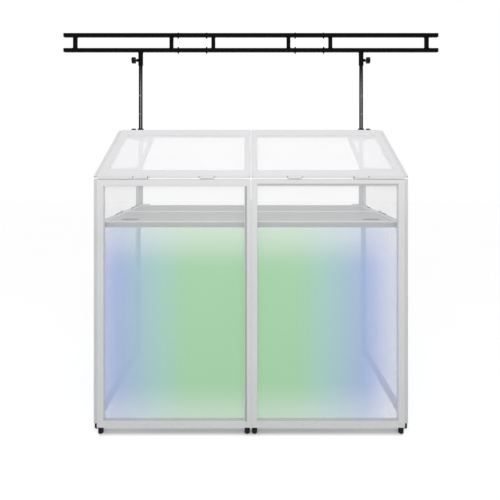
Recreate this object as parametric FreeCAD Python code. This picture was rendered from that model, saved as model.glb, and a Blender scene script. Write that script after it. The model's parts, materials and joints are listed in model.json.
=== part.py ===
import FreeCAD, Part
import math
import os

# A folding booth for a performer's table: white tube frames with stretched cloth, four leaning upper
# panels, a two-piece steel table, and a black ladder truss on two telescoping poles behind it.
# X runs across, Y runs back from the front, Z is up. Millimetres and degrees.

# Booth as a whole
WIDTH = 1206.0
DEPTH = 640.0
LOWER_TOP = 960.0

# Panel frames of rectangular tube
TUBE_W = 25.0
TUBE_D = 20.0
TUBE_WALL = 1.5
TUBE_EDGE_R = 1.8
MID_STILE_W = 21.0
CENTRE_GAP = 7.0
CORNER_GAP = 8.0
CORNER_STEP = 2.0
DRAIN_R = 3.0

# Upper panels
UPPER_H = 195.0
TILT = 22.5
HINGE_GAP = 12.0

# Cloths
CLOTH_T = 1.0
CLOTH_LAP = 8.0
SLIT_ROOM = 3.0

# Feet
FOOT_H = 24.0
FOOT_D = 20.0
FOOT_ROUND = 4.0
PLUG_H = 15.0
PLUG_ROOM = 0.2

# Hinges under the upper panels
TILT_HINGE_L = 52.0
TILT_KNUCKLE_L = 13.0
TILT_BARREL_R = 4.0
TILT_AXIS_OUT = 3.0
TILT_LEAF_W = 16.0
TILT_FINGER = 4.0
HEEL_FRONT = 6.0
HEEL_BACK = 12.0
HEEL_ROOM = 0.2
TILT_HINGE_FROM_MID = 162.5
TILT_HINGE_FROM_EDGE = 165.0
TILT_HINGE_FROM_FRONT = 132.0
TILT_HINGE_FROM_REAR = 130.0

# Hinges at the two front corners
CORNER_HINGE_L = 70.0
CORNER_KNUCKLE_L = 20.0
CORNER_LEAF_W = 14.5
CORNER_AXIS_OUT = 4.0
CORNER_HINGE_LOW = 150.0
CORNER_HINGE_MIDDLE = 480.0
CORNER_HINGE_BELOW_TOP = 80.0

# Fits shared by all hinges
LEAF_T = 2.0
LEAF_SETBACK = 1.0
PIN_R = 1.6
PIN_FIT = 0.05
PIN_HEAD_R = 2.6
PIN_HEAD_H = 1.5
RUNNING_GAP = 0.3

# Table of two trays
TABLE_TOP = 796.0
TABLE_REAR_GAP = 36.0
FRONT_TRAY_DEPTH = 307.0
TRAY_GAP = 0.5
TRAY_T = 1.5
TRAY_FLANGE = 22.0
TABLE_SIDE_GAP = 4.0
HAND_SLOT_L = 60.0
HAND_SLOT_W = 12.0
HAND_SLOT_FROM_SIDE = 100.0
HAND_SLOT_BACK = 53.0
TRAY_BOLT_FROM_SIDE = 178.0

# Hooks that rest on the crossbars, and spacers that hold the table off the front frames
HOOK_W = 40.0
HOOK_T = 3.0
HOOK_ARM_T = 4.0
HOOK_DROP = 8.0
HOOK_SEAT = 0.2
HOOK_END_GAP = 3.0
HOOK_FROM_SEAM = 36.0
HOOK_FROM_REAR = 62.0
SPACER_T = 10.0
SPACER_W = 10.0
SPACER_H = 16.0
SPACER_EDGE = 1.0

# Bolts
BOLT_R = 3.0
BOLT_ROOM = 0.2
BOLT_HEAD_R = 5.5
BOLT_HEAD_H = 4.0
BOLT_REACH = 8.0

# Plates that couple the two front frames
COUPLING_H = 60.0
COUPLING_T = 3.0
COUPLING_EDGE = 0.5
COUPLING_BOLT_X = 9.5
COUPLING_BOLT_SPAN = 36.0
COUPLING_LOW = 150.0
COUPLING_MIDDLE = 500.0
COUPLING_BELOW_TOP = 80.0

# Telescoping poles
POLE_FROM_SIDE = 13.0
POLE_BEHIND = 22.0
POLE_R = 10.0
POLE_WALL = 1.8
POLE_L = 808.0
POLE_ROOM = 0.3
POLE_TUBE_R = 12.5
POLE_TUBE_BELOW = 46.0
POLE_TUBE_L = 498.0
COLLAR_R = 16.0
COLLAR_H = 32.0
COLLAR_LIP = 2.0
COLLAR_ROOM = 0.1
PIN_HOLE_R = 3.0
PIN_HOLE_DROP = 234.0
PIN_HOLE_PITCH = 98.0
PIN_HOLE_COUNT = 5

# Brackets that carry the poles on the table's rear flange
BRACKET_H = 48.0
BRACKET_DROP = 2.0
BRACKET_PLATE_T = 4.0
BRACKET_ARM_T = 6.0
BRACKET_PLATE_REACH = 110.0
BRACKET_WEB_REACH = 45.0
BRACKET_BOLT_REACHES = (98.0, 60.0)
BRACKET_CLEAR = 7.0
CLAMP_R = 16.5
CLAMP_ROOM = 0.1

# Ladder truss of square tube, in three sections
TRUSS_L = 2000.0
TRUSS_BOTTOM = 1608.0
TRUSS_H = 100.0
CHORD_W = 20.0
CHORD_WALL = 1.5
CHORD_EDGE_R = 1.5
SPLICE_X = 313.0
SPLICE_GAP = 0.3
SPLICE_L = 260.0
SPLICE_WALL = 2.0
SPLICE_ROOM = 0.3
SPLICE_BOLT_OFF = 76.0
SPLICE_BOLT_R = 2.5
SPLICE_HEAD_R = 4.5
SPLICE_HEAD_H = 3.5
RUNG_D = 16.0
RUNG_SINK = 0.5
RUNG_FROM_SPLICE = 112.0
RUNG_FROM_END = 60.0
END_CAP_T = 3.0
END_PLUG_L = 18.0

# Sleeves under the truss and their clamp knobs
SLEEVE_L = 72.0
SLEEVE_ROOM = 0.1
SLEEVE_FLARE_R = 14.5
SLEEVE_FLARE_H = 8.0
BOSS_R = 8.0
BOSS_OUT = 21.0
KNOB_R = 17.0
KNOB_T = 18.0
KNOB_OUT = 46.0
KNOB_LOBES = 6
KNOB_SCALLOP_R = 4.0
KNOB_SCALLOP_AT = 18.5
KNOB_ROUND = 2.0
KNOB_STEM_R = 4.0
KNOB_TIP_GAP = 0.4
UPPER_KNOB_DROP = 44.0
LOWER_KNOB_DROP = 16.0

# Light bar under the rear tray
LED_L = 1000.0
LED_H = 62.0
LED_D = 48.0
LED_FROM_REAR = 84.0
LED_DROP = 51.0
LED_WALL = 2.0
LED_CAP_T = 10.0
LED_CAP_ROUND = 4.0
LED_LENS_T = 3.0
LED_LENS_RECESS = 2.0
LED_BOARD_T = 1.6
LED_BOARD_EDGE = 4.0
LED_PIVOT_R = 4.0
LED_PIVOT_HEAD_R = 7.0
LED_PIVOT_GRIP = 6.0
LED_BRACKET_T = 3.0
LED_BRACKET_W = 30.0
LED_BRACKET_GAP = 3.0
LED_BRACKET_BELOW = 18.0
LED_BRACKET_FOOT = 30.0

# Places that follow from the sizes above
SIDE_OUT = WIDTH / 2
SIDE_IN = SIDE_OUT - TUBE_D
SIDE_FRONT = TUBE_D + CORNER_GAP
FRONT_EDGE = SIDE_IN - CORNER_STEP
FRONT_MID = CENTRE_GAP / 2
UPPER_BASE = LOWER_TOP + HINGE_GAP
LEAN = math.radians(TILT)
UPPER_SETBACK = UPPER_H * math.sin(LEAN)
TILT_AXIS_Y = -TILT_AXIS_OUT
TILT_AXIS_Z = LOWER_TOP + HINGE_GAP / 2
CORNER_AXIS_X = FRONT_EDGE + CORNER_AXIS_OUT
CORNER_AXIS_Y = TUBE_D + CORNER_GAP / 2
TABLE_HALF = SIDE_IN - CLOTH_T - TABLE_SIDE_GAP
TABLE_FRONT = TUBE_D + SPACER_T
TABLE_REAR = DEPTH - TABLE_REAR_GAP
TRAY_SEAM = TABLE_FRONT + FRONT_TRAY_DEPTH
HOOKS_Y = (TRAY_SEAM - HOOK_FROM_SEAM, TABLE_REAR - HOOK_FROM_REAR)
TRAY_BOLT_Z = TABLE_TOP - TRAY_FLANGE / 2
CROSSBAR_TOP = TABLE_TOP - HOOK_DROP
POLE_X = SIDE_OUT - POLE_FROM_SIDE
POLE_Y = DEPTH + POLE_BEHIND
BRACKET_TOP = TABLE_TOP - BRACKET_DROP
BRACKET_LOW = BRACKET_TOP - BRACKET_H
POLE_TUBE_BOTTOM = BRACKET_LOW - POLE_TUBE_BELOW
POLE_TUBE_TOP = POLE_TUBE_BOTTOM + POLE_TUBE_L
LED_Y = TABLE_REAR - LED_FROM_REAR
LED_Z = TABLE_TOP - LED_DROP
TRUSS_TOP = TRUSS_BOTTOM + TRUSS_H
UPPER_KNOB_Z = TRUSS_BOTTOM - UPPER_KNOB_DROP
LOWER_KNOB_Z = POLE_TUBE_TOP - LOWER_KNOB_DROP
FRONT_MOST = TILT_AXIS_Y - TILT_BARREL_R
REAR_MOST = POLE_Y + max(CLAMP_R, KNOB_R)
Y_SHIFT = -(FRONT_MOST + REAR_MOST) / 2

V = FreeCAD.Vector
ALONG_X = V(1, 0, 0)
ALONG_Y = V(0, 1, 0)
ALONG_Z = V(0, 0, 1)
ORIGIN = V(0, 0, 0)


# Shapes that several pieces use

def box(x0, x1, y0, y1, z0, z1):
    return Part.makeBox(x1 - x0, y1 - y0, z1 - z0, V(x0, y0, z0))


def rod(start, axis, radius, length):
    return Part.makeCylinder(radius, length, start, axis)


def joined(first, *others):
    return first.multiFuse(list(others)).removeSplitter()


def group(solids):
    return Part.makeCompound(list(solids))


def mirrored(shape):
    return shape.mirror(ORIGIN, ALONG_X)


def pair(shape):
    return group(shape.Solids + mirrored(shape).Solids)


def rounded(shape, radius, choose):
    return shape.makeFillet(radius, [edge for edge in shape.Edges if choose(edge)])


def runs_along(axis):
    def test(edge):
        start, end = edge.Vertexes[0].Point, edge.Vertexes[-1].Point
        run = end.sub(start)
        return run.Length > 0 and abs(abs(run.dot(axis)) - run.Length) < 1e-6
    return test


def square_tube(x0, x1, y0, y1, z0, z1, axis, wall, edge_r):
    # A straight tube along one axis, open at both ends, with its long edges rounded.
    outside = rounded(box(x0, x1, y0, y1, z0, z1), edge_r, runs_along(axis))
    inset_x = 0 if axis.x else wall
    inset_y = 0 if axis.y else wall
    inset_z = 0 if axis.z else wall
    inside = box(x0 + inset_x, x1 - inset_x, y0 + inset_y, y1 - inset_y, z0 + inset_z, z1 - inset_z)
    return outside.cut(inside)


def hexagon(start, axis, radius, length):
    # A hexagonal prism whose corners lie on the radius.
    side_way = ALONG_Z if abs(axis.z) < 0.5 else ALONG_X
    corners = []
    for step in range(7):
        turn = FreeCAD.Rotation(axis, 60.0 * step)
        corners.append(start.add(turn.multVec(side_way).multiply(radius)))
    return Part.Face(Part.makePolygon(corners)).extrude(V(axis).multiply(length))


def bolt(head_seat, axis, reach, radius=BOLT_R, head_r=BOLT_HEAD_R, head_h=BOLT_HEAD_H):
    # The head stands off the seat against the axis, and the shank runs along it.
    head = hexagon(head_seat, V(axis).multiply(-1), head_r, head_h)
    return joined(head, rod(head_seat, axis, radius, reach))


def bolt_hole(head_seat, axis, reach, radius=BOLT_R):
    start = head_seat.sub(V(axis).multiply(1))
    return rod(start, axis, radius + BOLT_ROOM, reach + 2)


# Flat frames are drawn in their own plane: X along the frame, Z up it, Y through its thickness.

def inset_outline(points, distances):
    # Moves each side of a convex outline, listed anticlockwise, inwards by its own distance.
    lines = []
    for index, start in enumerate(points):
        end = points[(index + 1) % len(points)]
        run_x, run_z = end[0] - start[0], end[1] - start[1]
        length = math.hypot(run_x, run_z)
        in_x, in_z = -run_z / length, run_x / length
        lines.append((start[0] + in_x * distances[index], start[1] + in_z * distances[index], run_x, run_z))
    corners = []
    for index, (x1, z1, dx1, dz1) in enumerate(lines):
        x0, z0, dx0, dz0 = lines[index - 1]
        along = ((x1 - x0) * dz1 - (z1 - z0) * dx1) / (dx0 * dz1 - dz0 * dx1)
        corners.append((x0 + dx0 * along, z0 + dz0 * along))
    return corners


def slab(points, y0, y1):
    corners = [V(x, y0, z) for x, z in points]
    return Part.Face(Part.makePolygon(corners + corners[:1])).extrude(V(0, y1 - y0, 0))


def lies_on_face(edge):
    first, last = edge.Vertexes[0].Point, edge.Vertexes[-1].Point
    return abs(first.y - last.y) < 1e-6


def tube_frame(points, widths):
    # A welded ring of tube: rounded outside, hollow all the way round.
    ring = slab(points, 0, TUBE_D).cut(slab(inset_outline(points, widths), 0, TUBE_D))
    ring = rounded(ring, TUBE_EDGE_R, lies_on_face)
    outer_wall = inset_outline(points, [TUBE_WALL] * len(points))
    inner_wall = inset_outline(points, [width - TUBE_WALL for width in widths])
    hollow = slab(outer_wall, TUBE_WALL, TUBE_D - TUBE_WALL)
    hollow = hollow.cut(slab(inner_wall, TUBE_WALL, TUBE_D - TUBE_WALL))
    return ring.cut(hollow)


def frame_cloth(points, widths):
    # The cloth lies on the back of its frame and laps over the window's edge.
    return slab(inset_outline(points, [width - CLOTH_LAP for width in widths]), TUBE_D, TUBE_D + CLOTH_T)


def leaned(shape):
    # Leans a frame that stands at the origin back by the tilt, and lifts it to its place.
    tilted = shape.copy()
    tilted.rotate(ORIGIN, ALONG_X, -TILT)
    tilted.translate(V(0, 0, UPPER_BASE))
    return tilted


def at_side(shape):
    # Turns what was drawn for the front so that it runs back along the right-hand side.
    turned = shape.copy()
    turned.rotate(ORIGIN, ALONG_Z, 90)
    turned.translate(V(SIDE_OUT, 0, 0))
    return turned


def stile_socket(centre_x, width):
    # The open lower end of a stile, which takes the plug of a foot.
    half_x = width / 2 - TUBE_WALL
    half_y = TUBE_D / 2 - TUBE_WALL
    return box(centre_x - half_x, centre_x + half_x, TUBE_D / 2 - half_y, TUBE_D / 2 + half_y,
               FOOT_H - TUBE_WALL, FOOT_H + 2 * TUBE_WALL)


def foot(centre_x, width):
    centre = V(centre_x, TUBE_D / 2, 0)
    pad = rod(centre, ALONG_Z, FOOT_D / 2, FOOT_H)
    pad = rounded(pad, FOOT_ROUND, lambda edge: edge.BoundBox.ZMax < FOOT_H / 2)
    half_x = width / 2 - TUBE_WALL - PLUG_ROOM
    half_y = TUBE_D / 2 - TUBE_WALL - PLUG_ROOM
    plug = box(centre_x - half_x, centre_x + half_x, centre.y - half_y, centre.y + half_y,
               FOOT_H - 1, FOOT_H + PLUG_H)
    return joined(pad, plug)


# Hinges

def tilt_hinge(centre_x):
    # A stop hinge in the gap under an upper panel: two knuckles and a heel below, one knuckle above.
    left, right = centre_x - TILT_HINGE_L / 2, centre_x + TILT_HINGE_L / 2
    leaf_top = LOWER_TOP + LEAF_T
    leaf_back = LEAF_SETBACK + TILT_LEAF_W
    bore = rod(V(left - 1, TILT_AXIS_Y, TILT_AXIS_Z), ALONG_X, PIN_R + PIN_FIT, TILT_HINGE_L + 2)

    def knuckle(x0, x1):
        return rod(V(x0, TILT_AXIS_Y, TILT_AXIS_Z), ALONG_X, TILT_BARREL_R, x1 - x0)

    lower = [box(left, right, LEAF_SETBACK, leaf_back, LOWER_TOP, leaf_top)]
    for x0, x1 in ((left, left + TILT_KNUCKLE_L), (right - TILT_KNUCKLE_L, right)):
        lower.append(knuckle(x0, x1))
        lower.append(box(x0, x1, TILT_AXIS_Y, LEAF_SETBACK + TILT_FINGER, LOWER_TOP, TILT_AXIS_Z))

    def underside(y):
        fall = (y + LEAF_T * math.sin(LEAN)) * math.tan(LEAN)
        return UPPER_BASE - LEAF_T * math.cos(LEAN) - fall - HEEL_ROOM

    heel = [V(left, HEEL_FRONT, LOWER_TOP), V(left, HEEL_BACK, LOWER_TOP),
            V(left, HEEL_BACK, underside(HEEL_BACK)), V(left, HEEL_FRONT, underside(HEEL_FRONT))]
    lower.append(Part.Face(Part.makePolygon(heel + heel[:1])).extrude(V(TILT_HINGE_L, 0, 0)))
    lower_leaf = joined(*lower).cut(bore)

    # The upper leaf, in its panel's own plane, reaches down from the lower edge to the pin.
    drop_y, drop_z = TILT_AXIS_Y, TILT_AXIS_Z - UPPER_BASE
    axis_up = drop_y * math.sin(LEAN) + drop_z * math.cos(LEAN)
    axis_in = drop_y * math.cos(LEAN) - drop_z * math.sin(LEAN)
    x0 = left + TILT_KNUCKLE_L + RUNNING_GAP
    x1 = right - TILT_KNUCKLE_L - RUNNING_GAP
    plate = box(left, right, LEAF_SETBACK, leaf_back, -LEAF_T, 0)
    finger = box(x0, x1, axis_in, LEAF_SETBACK + TILT_FINGER, axis_up, 0)
    upper_leaf = joined(leaned(joined(plate, finger)), knuckle(x0, x1)).cut(bore)

    head = rod(V(left - PIN_HEAD_H, TILT_AXIS_Y, TILT_AXIS_Z), ALONG_X, PIN_HEAD_R, PIN_HEAD_H)
    pin = rod(V(left - PIN_HEAD_H, TILT_AXIS_Y, TILT_AXIS_Z), ALONG_X, PIN_R, TILT_HINGE_L + PIN_HEAD_H)
    return lower_leaf, upper_leaf, joined(head, pin)


def corner_hinge(centre_z):
    # A butt hinge in the right-hand corner, between the back of the front stile and the side's end.
    low, high = centre_z - CORNER_HINGE_L / 2, centre_z + CORNER_HINGE_L / 2
    knuckle_r = CORNER_GAP / 2 - RUNNING_GAP
    ends = ((low, low + CORNER_KNUCKLE_L), (high - CORNER_KNUCKLE_L, high))
    bore = rod(V(CORNER_AXIS_X, CORNER_AXIS_Y, low - 1), ALONG_Z, PIN_R + PIN_FIT, CORNER_HINGE_L + 2)

    def knuckle(z0, z1):
        return rod(V(CORNER_AXIS_X, CORNER_AXIS_Y, z0), ALONG_Z, knuckle_r, z1 - z0)

    leaf_edge = FRONT_EDGE - RUNNING_GAP
    front = [box(leaf_edge - CORNER_LEAF_W, leaf_edge, TUBE_D, TUBE_D + LEAF_T, low, high)]
    side = box(SIDE_IN, SIDE_OUT - LEAF_SETBACK, SIDE_FRONT - LEAF_T, SIDE_FRONT, low, high)
    notch_edge = CORNER_AXIS_X + knuckle_r + RUNNING_GAP
    for z0, z1 in ends:
        front.append(knuckle(z0, z1))
        front.append(box(leaf_edge - LEAF_T, CORNER_AXIS_X, TUBE_D + RUNNING_GAP, TUBE_D + LEAF_T, z0, z1))
        side = side.cut(box(SIDE_IN - 1, notch_edge, SIDE_FRONT - LEAF_T - 1, SIDE_FRONT + 1,
                            z0 - RUNNING_GAP, z1 + RUNNING_GAP))
    middle = knuckle(low + CORNER_KNUCKLE_L + RUNNING_GAP, high - CORNER_KNUCKLE_L - RUNNING_GAP)
    foot_of_head = V(CORNER_AXIS_X, CORNER_AXIS_Y, high)
    pin = joined(rod(foot_of_head, ALONG_Z, PIN_HEAD_R, PIN_HEAD_H),
                 rod(V(CORNER_AXIS_X, CORNER_AXIS_Y, low), ALONG_Z, PIN_R, CORNER_HINGE_L + PIN_HEAD_H))
    return joined(*front).cut(bore), joined(side, middle).cut(bore), pin


# Front frames, their cloths and feet, drawn on the right and mirrored to the left

def rectangle(x0, x1, z0, z1):
    return [(x0, z0), (x1, z0), (x1, z1), (x0, z1)]


front_outline = rectangle(FRONT_MID, FRONT_EDGE, FOOT_H, LOWER_TOP)
front_widths = [TUBE_W, TUBE_W, TUBE_W, MID_STILE_W]
front_stiles = ((FRONT_MID + MID_STILE_W / 2, MID_STILE_W), (FRONT_EDGE - TUBE_W / 2, TUBE_W))
front_frame = tube_frame(front_outline, front_widths)
for stile_x, stile_w in front_stiles:
    front_frame = front_frame.cut(stile_socket(stile_x, stile_w))
front_cloth = frame_cloth(front_outline, front_widths)
front_feet = group([foot(stile_x, stile_w) for stile_x, stile_w in front_stiles])

# Coupling plates across the two middle stiles, with two bolts into each stile
coupling_half = FRONT_MID + MID_STILE_W - CLOTH_LAP - COUPLING_EDGE
coupling_back = TUBE_D + COUPLING_T
coupling_reach = COUPLING_T + BOLT_REACH
INTO_FRONT = V(0, -1, 0)
coupling_seats = []
couplings_z = (COUPLING_LOW, COUPLING_MIDDLE, LOWER_TOP - COUPLING_BELOW_TOP)
for plate_z in couplings_z:
    for bolt_z in (plate_z - COUPLING_BOLT_SPAN / 2, plate_z + COUPLING_BOLT_SPAN / 2):
        coupling_seats.append(V(COUPLING_BOLT_X, coupling_back, bolt_z))
coupling_plates = []
for plate_z in couplings_z:
    plate = box(-coupling_half, coupling_half, TUBE_D, coupling_back,
                plate_z - COUPLING_H / 2, plate_z + COUPLING_H / 2)
    for seat in coupling_seats:
        hole = bolt_hole(seat, INTO_FRONT, coupling_reach)
        plate = plate.cut(hole).cut(mirrored(hole))
    coupling_plates.append(plate)

# Spacers between the front frames and the table's front flange, each with a bolt
spacer_centres = (FRONT_MID + (MID_STILE_W - CLOTH_LAP) / 2,
                  FRONT_EDGE - TUBE_W + CLOTH_LAP + SPACER_EDGE + SPACER_W / 2)
spacer_reach = TRAY_T + SPACER_T + BOLT_REACH
spacer_seats = [V(x, TABLE_FRONT + TRAY_T, TRAY_BOLT_Z) for x in spacer_centres]
table_spacers = []
for seat in spacer_seats:
    block = box(seat.x - SPACER_W / 2, seat.x + SPACER_W / 2, TUBE_D, TABLE_FRONT,
                TRAY_BOLT_Z - SPACER_H / 2, TRAY_BOLT_Z + SPACER_H / 2)
    table_spacers.append(block.cut(bolt_hole(seat, INTO_FRONT, spacer_reach)))

for seat in coupling_seats:
    front_frame = front_frame.cut(bolt_hole(seat, INTO_FRONT, coupling_reach))
for seat in spacer_seats:
    front_frame = front_frame.cut(bolt_hole(seat, INTO_FRONT, spacer_reach))

# Side frames with the crossbar that carries the table
side_outline = rectangle(SIDE_FRONT, DEPTH, FOOT_H, LOWER_TOP)
side_widths = [TUBE_W] * 4
side_stiles = (SIDE_FRONT + TUBE_W / 2, DEPTH - TUBE_W / 2)
crossbar = square_tube(SIDE_FRONT + TUBE_W, DEPTH - TUBE_W, 0, TUBE_D,
                       CROSSBAR_TOP - TUBE_W, CROSSBAR_TOP, ALONG_X, TUBE_WALL, TUBE_EDGE_R)
crossbar_drain = rod(V(DEPTH / 2, TUBE_D / 2, CROSSBAR_TOP - TUBE_W - 1), ALONG_Z, DRAIN_R, TUBE_WALL + 2)
side_frame = joined(tube_frame(side_outline, side_widths), crossbar.cut(crossbar_drain))
for stile_y in side_stiles:
    side_frame = side_frame.cut(stile_socket(stile_y, TUBE_W))
side_frame = at_side(side_frame)
side_feet = at_side(group([foot(stile_y, TUBE_W) for stile_y in side_stiles]))
side_cloth = at_side(frame_cloth(side_outline, side_widths))
for hook_y in HOOKS_Y:
    side_cloth = side_cloth.cut(box(SIDE_IN - CLOTH_T - 1, SIDE_IN + 1,
                                    hook_y - HOOK_W / 2 - SLIT_ROOM, hook_y + HOOK_W / 2 + SLIT_ROOM,
                                    CROSSBAR_TOP - SLIT_ROOM, CROSSBAR_TOP + HOOK_ARM_T + SLIT_ROOM))

# Upper panels: the front ones are cut back at their outer ends, the side ones at their front ends
upper_front_outline = [(FRONT_MID, 0), (FRONT_EDGE, 0), (FRONT_EDGE - UPPER_SETBACK, UPPER_H),
                       (FRONT_MID, UPPER_H)]
upper_side_outline = [(SIDE_FRONT, 0), (DEPTH, 0), (DEPTH, UPPER_H), (SIDE_FRONT + UPPER_SETBACK, UPPER_H)]


def upper_panel(points, widths):
    middle_x = (points[0][0] + points[1][0]) / 2
    drain = rod(V(middle_x, TUBE_D / 2, -1), ALONG_Z, DRAIN_R, TUBE_WALL + 2)
    return leaned(tube_frame(points, widths).cut(drain)), leaned(frame_cloth(points, widths))


upper_front_frame, upper_front_cloth = upper_panel(upper_front_outline, front_widths)
upper_side_frame, upper_side_cloth = upper_panel(upper_side_outline, side_widths)
upper_side_frame = at_side(upper_side_frame)
upper_side_cloth = at_side(upper_side_cloth)

front_hinges_x = (FRONT_MID + TILT_HINGE_FROM_MID, FRONT_EDGE - TILT_HINGE_FROM_EDGE)
side_hinges_y = (SIDE_FRONT + TILT_HINGE_FROM_FRONT, DEPTH - TILT_HINGE_FROM_REAR)
corner_hinges_z = (CORNER_HINGE_LOW, CORNER_HINGE_MIDDLE, LOWER_TOP - CORNER_HINGE_BELOW_TOP)
front_hinges = [tilt_hinge(x) for x in front_hinges_x]
side_hinges = [[at_side(piece) for piece in tilt_hinge(y)] for y in side_hinges_y]
corner_hinges = [corner_hinge(z) for z in corner_hinges_z]

# Table: two folded steel trays, open below


def tray(y0, y1):
    outside = box(-TABLE_HALF, TABLE_HALF, y0, y1, TABLE_TOP - TRAY_FLANGE, TABLE_TOP)
    outside = rounded(outside, TRAY_T, lambda edge: edge.BoundBox.ZMin > TABLE_TOP - TRAY_T)
    inside = box(-TABLE_HALF + TRAY_T, TABLE_HALF - TRAY_T, y0 + TRAY_T, y1 - TRAY_T,
                 TABLE_TOP - TRAY_FLANGE - 1, TABLE_TOP - TRAY_T)
    return outside.cut(inside)


def hand_slot(centre_x, centre_y):
    half = (HAND_SLOT_L - HAND_SLOT_W) / 2
    low = TABLE_TOP - 2 * TRAY_T
    slot = [box(centre_x - half, centre_x + half, centre_y - HAND_SLOT_W / 2, centre_y + HAND_SLOT_W / 2,
                low, TABLE_TOP + 1)]
    for end_x in (centre_x - half, centre_x + half):
        slot.append(rod(V(end_x, centre_y, low), ALONG_Z, HAND_SLOT_W / 2, 2 * TRAY_T + 1))
    return joined(*slot)


front_tray = tray(TABLE_FRONT, TRAY_SEAM)
rear_tray = tray(TRAY_SEAM + TRAY_GAP, TABLE_REAR)
hand_slot_x = TABLE_HALF - HAND_SLOT_FROM_SIDE
for slot_x in (-hand_slot_x, hand_slot_x):
    front_tray = front_tray.cut(hand_slot(slot_x, TABLE_FRONT + HAND_SLOT_BACK))
for seat in spacer_seats:
    hole = bolt_hole(seat, INTO_FRONT, spacer_reach)
    front_tray = front_tray.cut(hole).cut(mirrored(hole))
tray_bolt_reach = 2 * TRAY_T + TRAY_GAP + BOLT_REACH
tray_bolt_x = TABLE_HALF - TRAY_BOLT_FROM_SIDE
tray_seats = [V(x, TRAY_SEAM - TRAY_T, TRAY_BOLT_Z) for x in (-tray_bolt_x, 0, tray_bolt_x)]
for seat in tray_seats:
    front_tray = front_tray.cut(bolt_hole(seat, ALONG_Y, tray_bolt_reach))
    rear_tray = rear_tray.cut(bolt_hole(seat, ALONG_Y, tray_bolt_reach))

# Hooks on the trays' side flanges, whose arms rest on the crossbars
table_hooks = []
hook_low = CROSSBAR_TOP + HOOK_SEAT
for hook_y in HOOKS_Y:
    leg = box(TABLE_HALF, TABLE_HALF + HOOK_T, hook_y - HOOK_W / 2, hook_y + HOOK_W / 2,
              TABLE_TOP - TRAY_FLANGE, hook_low + HOOK_ARM_T)
    arm = box(TABLE_HALF, SIDE_OUT - HOOK_END_GAP, hook_y - HOOK_W / 2, hook_y + HOOK_W / 2,
              hook_low, hook_low + HOOK_ARM_T)
    table_hooks.append(joined(leg, arm))

# Pole brackets: a plate on the rear flange, a web, and two arms bored for the pole tube
bracket_start = POLE_X - BRACKET_PLATE_REACH
bracket_web = POLE_X - BRACKET_WEB_REACH
bracket_edge = SIDE_IN - CLOTH_T - BRACKET_CLEAR
bracket_back = TABLE_REAR + BRACKET_PLATE_T
bracket_seats = [V(POLE_X - reach, bracket_back, TRAY_BOLT_Z) for reach in BRACKET_BOLT_REACHES]
bracket_reach = BRACKET_PLATE_T + TRAY_T + BOLT_REACH
bracket = [box(bracket_start, bracket_edge, TABLE_REAR, bracket_back, BRACKET_LOW, BRACKET_TOP),
           box(bracket_web, bracket_web + BRACKET_PLATE_T, TABLE_REAR, POLE_Y, BRACKET_LOW, BRACKET_TOP)]
for arm_z in (BRACKET_LOW, BRACKET_TOP - BRACKET_ARM_T):
    arm_top = arm_z + BRACKET_ARM_T
    bracket.append(box(bracket_web, bracket_edge, TABLE_REAR, POLE_Y + CLAMP_R, arm_z, arm_top))
    bracket.append(box(bracket_web, POLE_X, POLE_Y - CLAMP_R, POLE_Y + CLAMP_R, arm_z, arm_top))
    bracket.append(rod(V(POLE_X, POLE_Y, arm_z), ALONG_Z, CLAMP_R, BRACKET_ARM_T))
pole_bracket = joined(*bracket)
pole_bracket = pole_bracket.cut(rod(V(POLE_X, POLE_Y, BRACKET_LOW - 1), ALONG_Z,
                                    POLE_TUBE_R + CLAMP_ROOM, BRACKET_H + 2))
for seat in bracket_seats:
    hole = bolt_hole(seat, INTO_FRONT, bracket_reach)
    pole_bracket = pole_bracket.cut(hole)
    rear_tray = rear_tray.cut(hole).cut(mirrored(hole))

# All the plain bolts of the fixed part
right_bolts = [bolt(seat, INTO_FRONT, coupling_reach) for seat in coupling_seats]
right_bolts += [bolt(seat, INTO_FRONT, spacer_reach) for seat in spacer_seats]
right_bolts += [bolt(seat, INTO_FRONT, bracket_reach) for seat in bracket_seats]
booth_bolts = right_bolts + [mirrored(one) for one in right_bolts]
booth_bolts += [bolt(seat, ALONG_Y, tray_bolt_reach) for seat in tray_seats]

# Pole tubes, and the clamp collars on their upper ends, with a boss for the lower clamp knob


def knob_hole(z):
    return rod(V(POLE_X, POLE_Y, z), ALONG_X, KNOB_STEM_R + PIN_FIT, BOSS_OUT + 1)


def knob_boss(z):
    return rod(V(POLE_X, POLE_Y, z), ALONG_X, BOSS_R, BOSS_OUT)


tube_foot = V(POLE_X, POLE_Y, POLE_TUBE_BOTTOM)
tube_length = POLE_TUBE_L - COLLAR_LIP
tube_bore = rod(tube_foot.sub(ALONG_Z), ALONG_Z, POLE_R + POLE_ROOM, POLE_TUBE_L + 2)
pole_tube = rod(tube_foot, ALONG_Z, POLE_TUBE_R, tube_length).cut(tube_bore).cut(knob_hole(LOWER_KNOB_Z))
collar = joined(rod(V(POLE_X, POLE_Y, POLE_TUBE_TOP - COLLAR_H), ALONG_Z, COLLAR_R, COLLAR_H),
                knob_boss(LOWER_KNOB_Z))
collar = collar.cut(rod(tube_foot, ALONG_Z, POLE_TUBE_R + COLLAR_ROOM, tube_length))
collar = collar.cut(tube_bore).cut(knob_hole(LOWER_KNOB_Z))

# Inner poles with a row of holes for a safety pin
pole_foot = V(POLE_X, POLE_Y, TRUSS_BOTTOM - POLE_L)
inner_pole = rod(pole_foot, ALONG_Z, POLE_R, POLE_L).cut(rod(pole_foot, ALONG_Z, POLE_R - POLE_WALL, POLE_L))
for index in range(PIN_HOLE_COUNT):
    hole_z = TRUSS_BOTTOM - PIN_HOLE_DROP - PIN_HOLE_PITCH * index
    hole_start = V(POLE_X, POLE_Y - POLE_R - 1, hole_z)
    inner_pole = inner_pole.cut(rod(hole_start, ALONG_Y, PIN_HOLE_R, 2 * POLE_R + 2))

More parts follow.
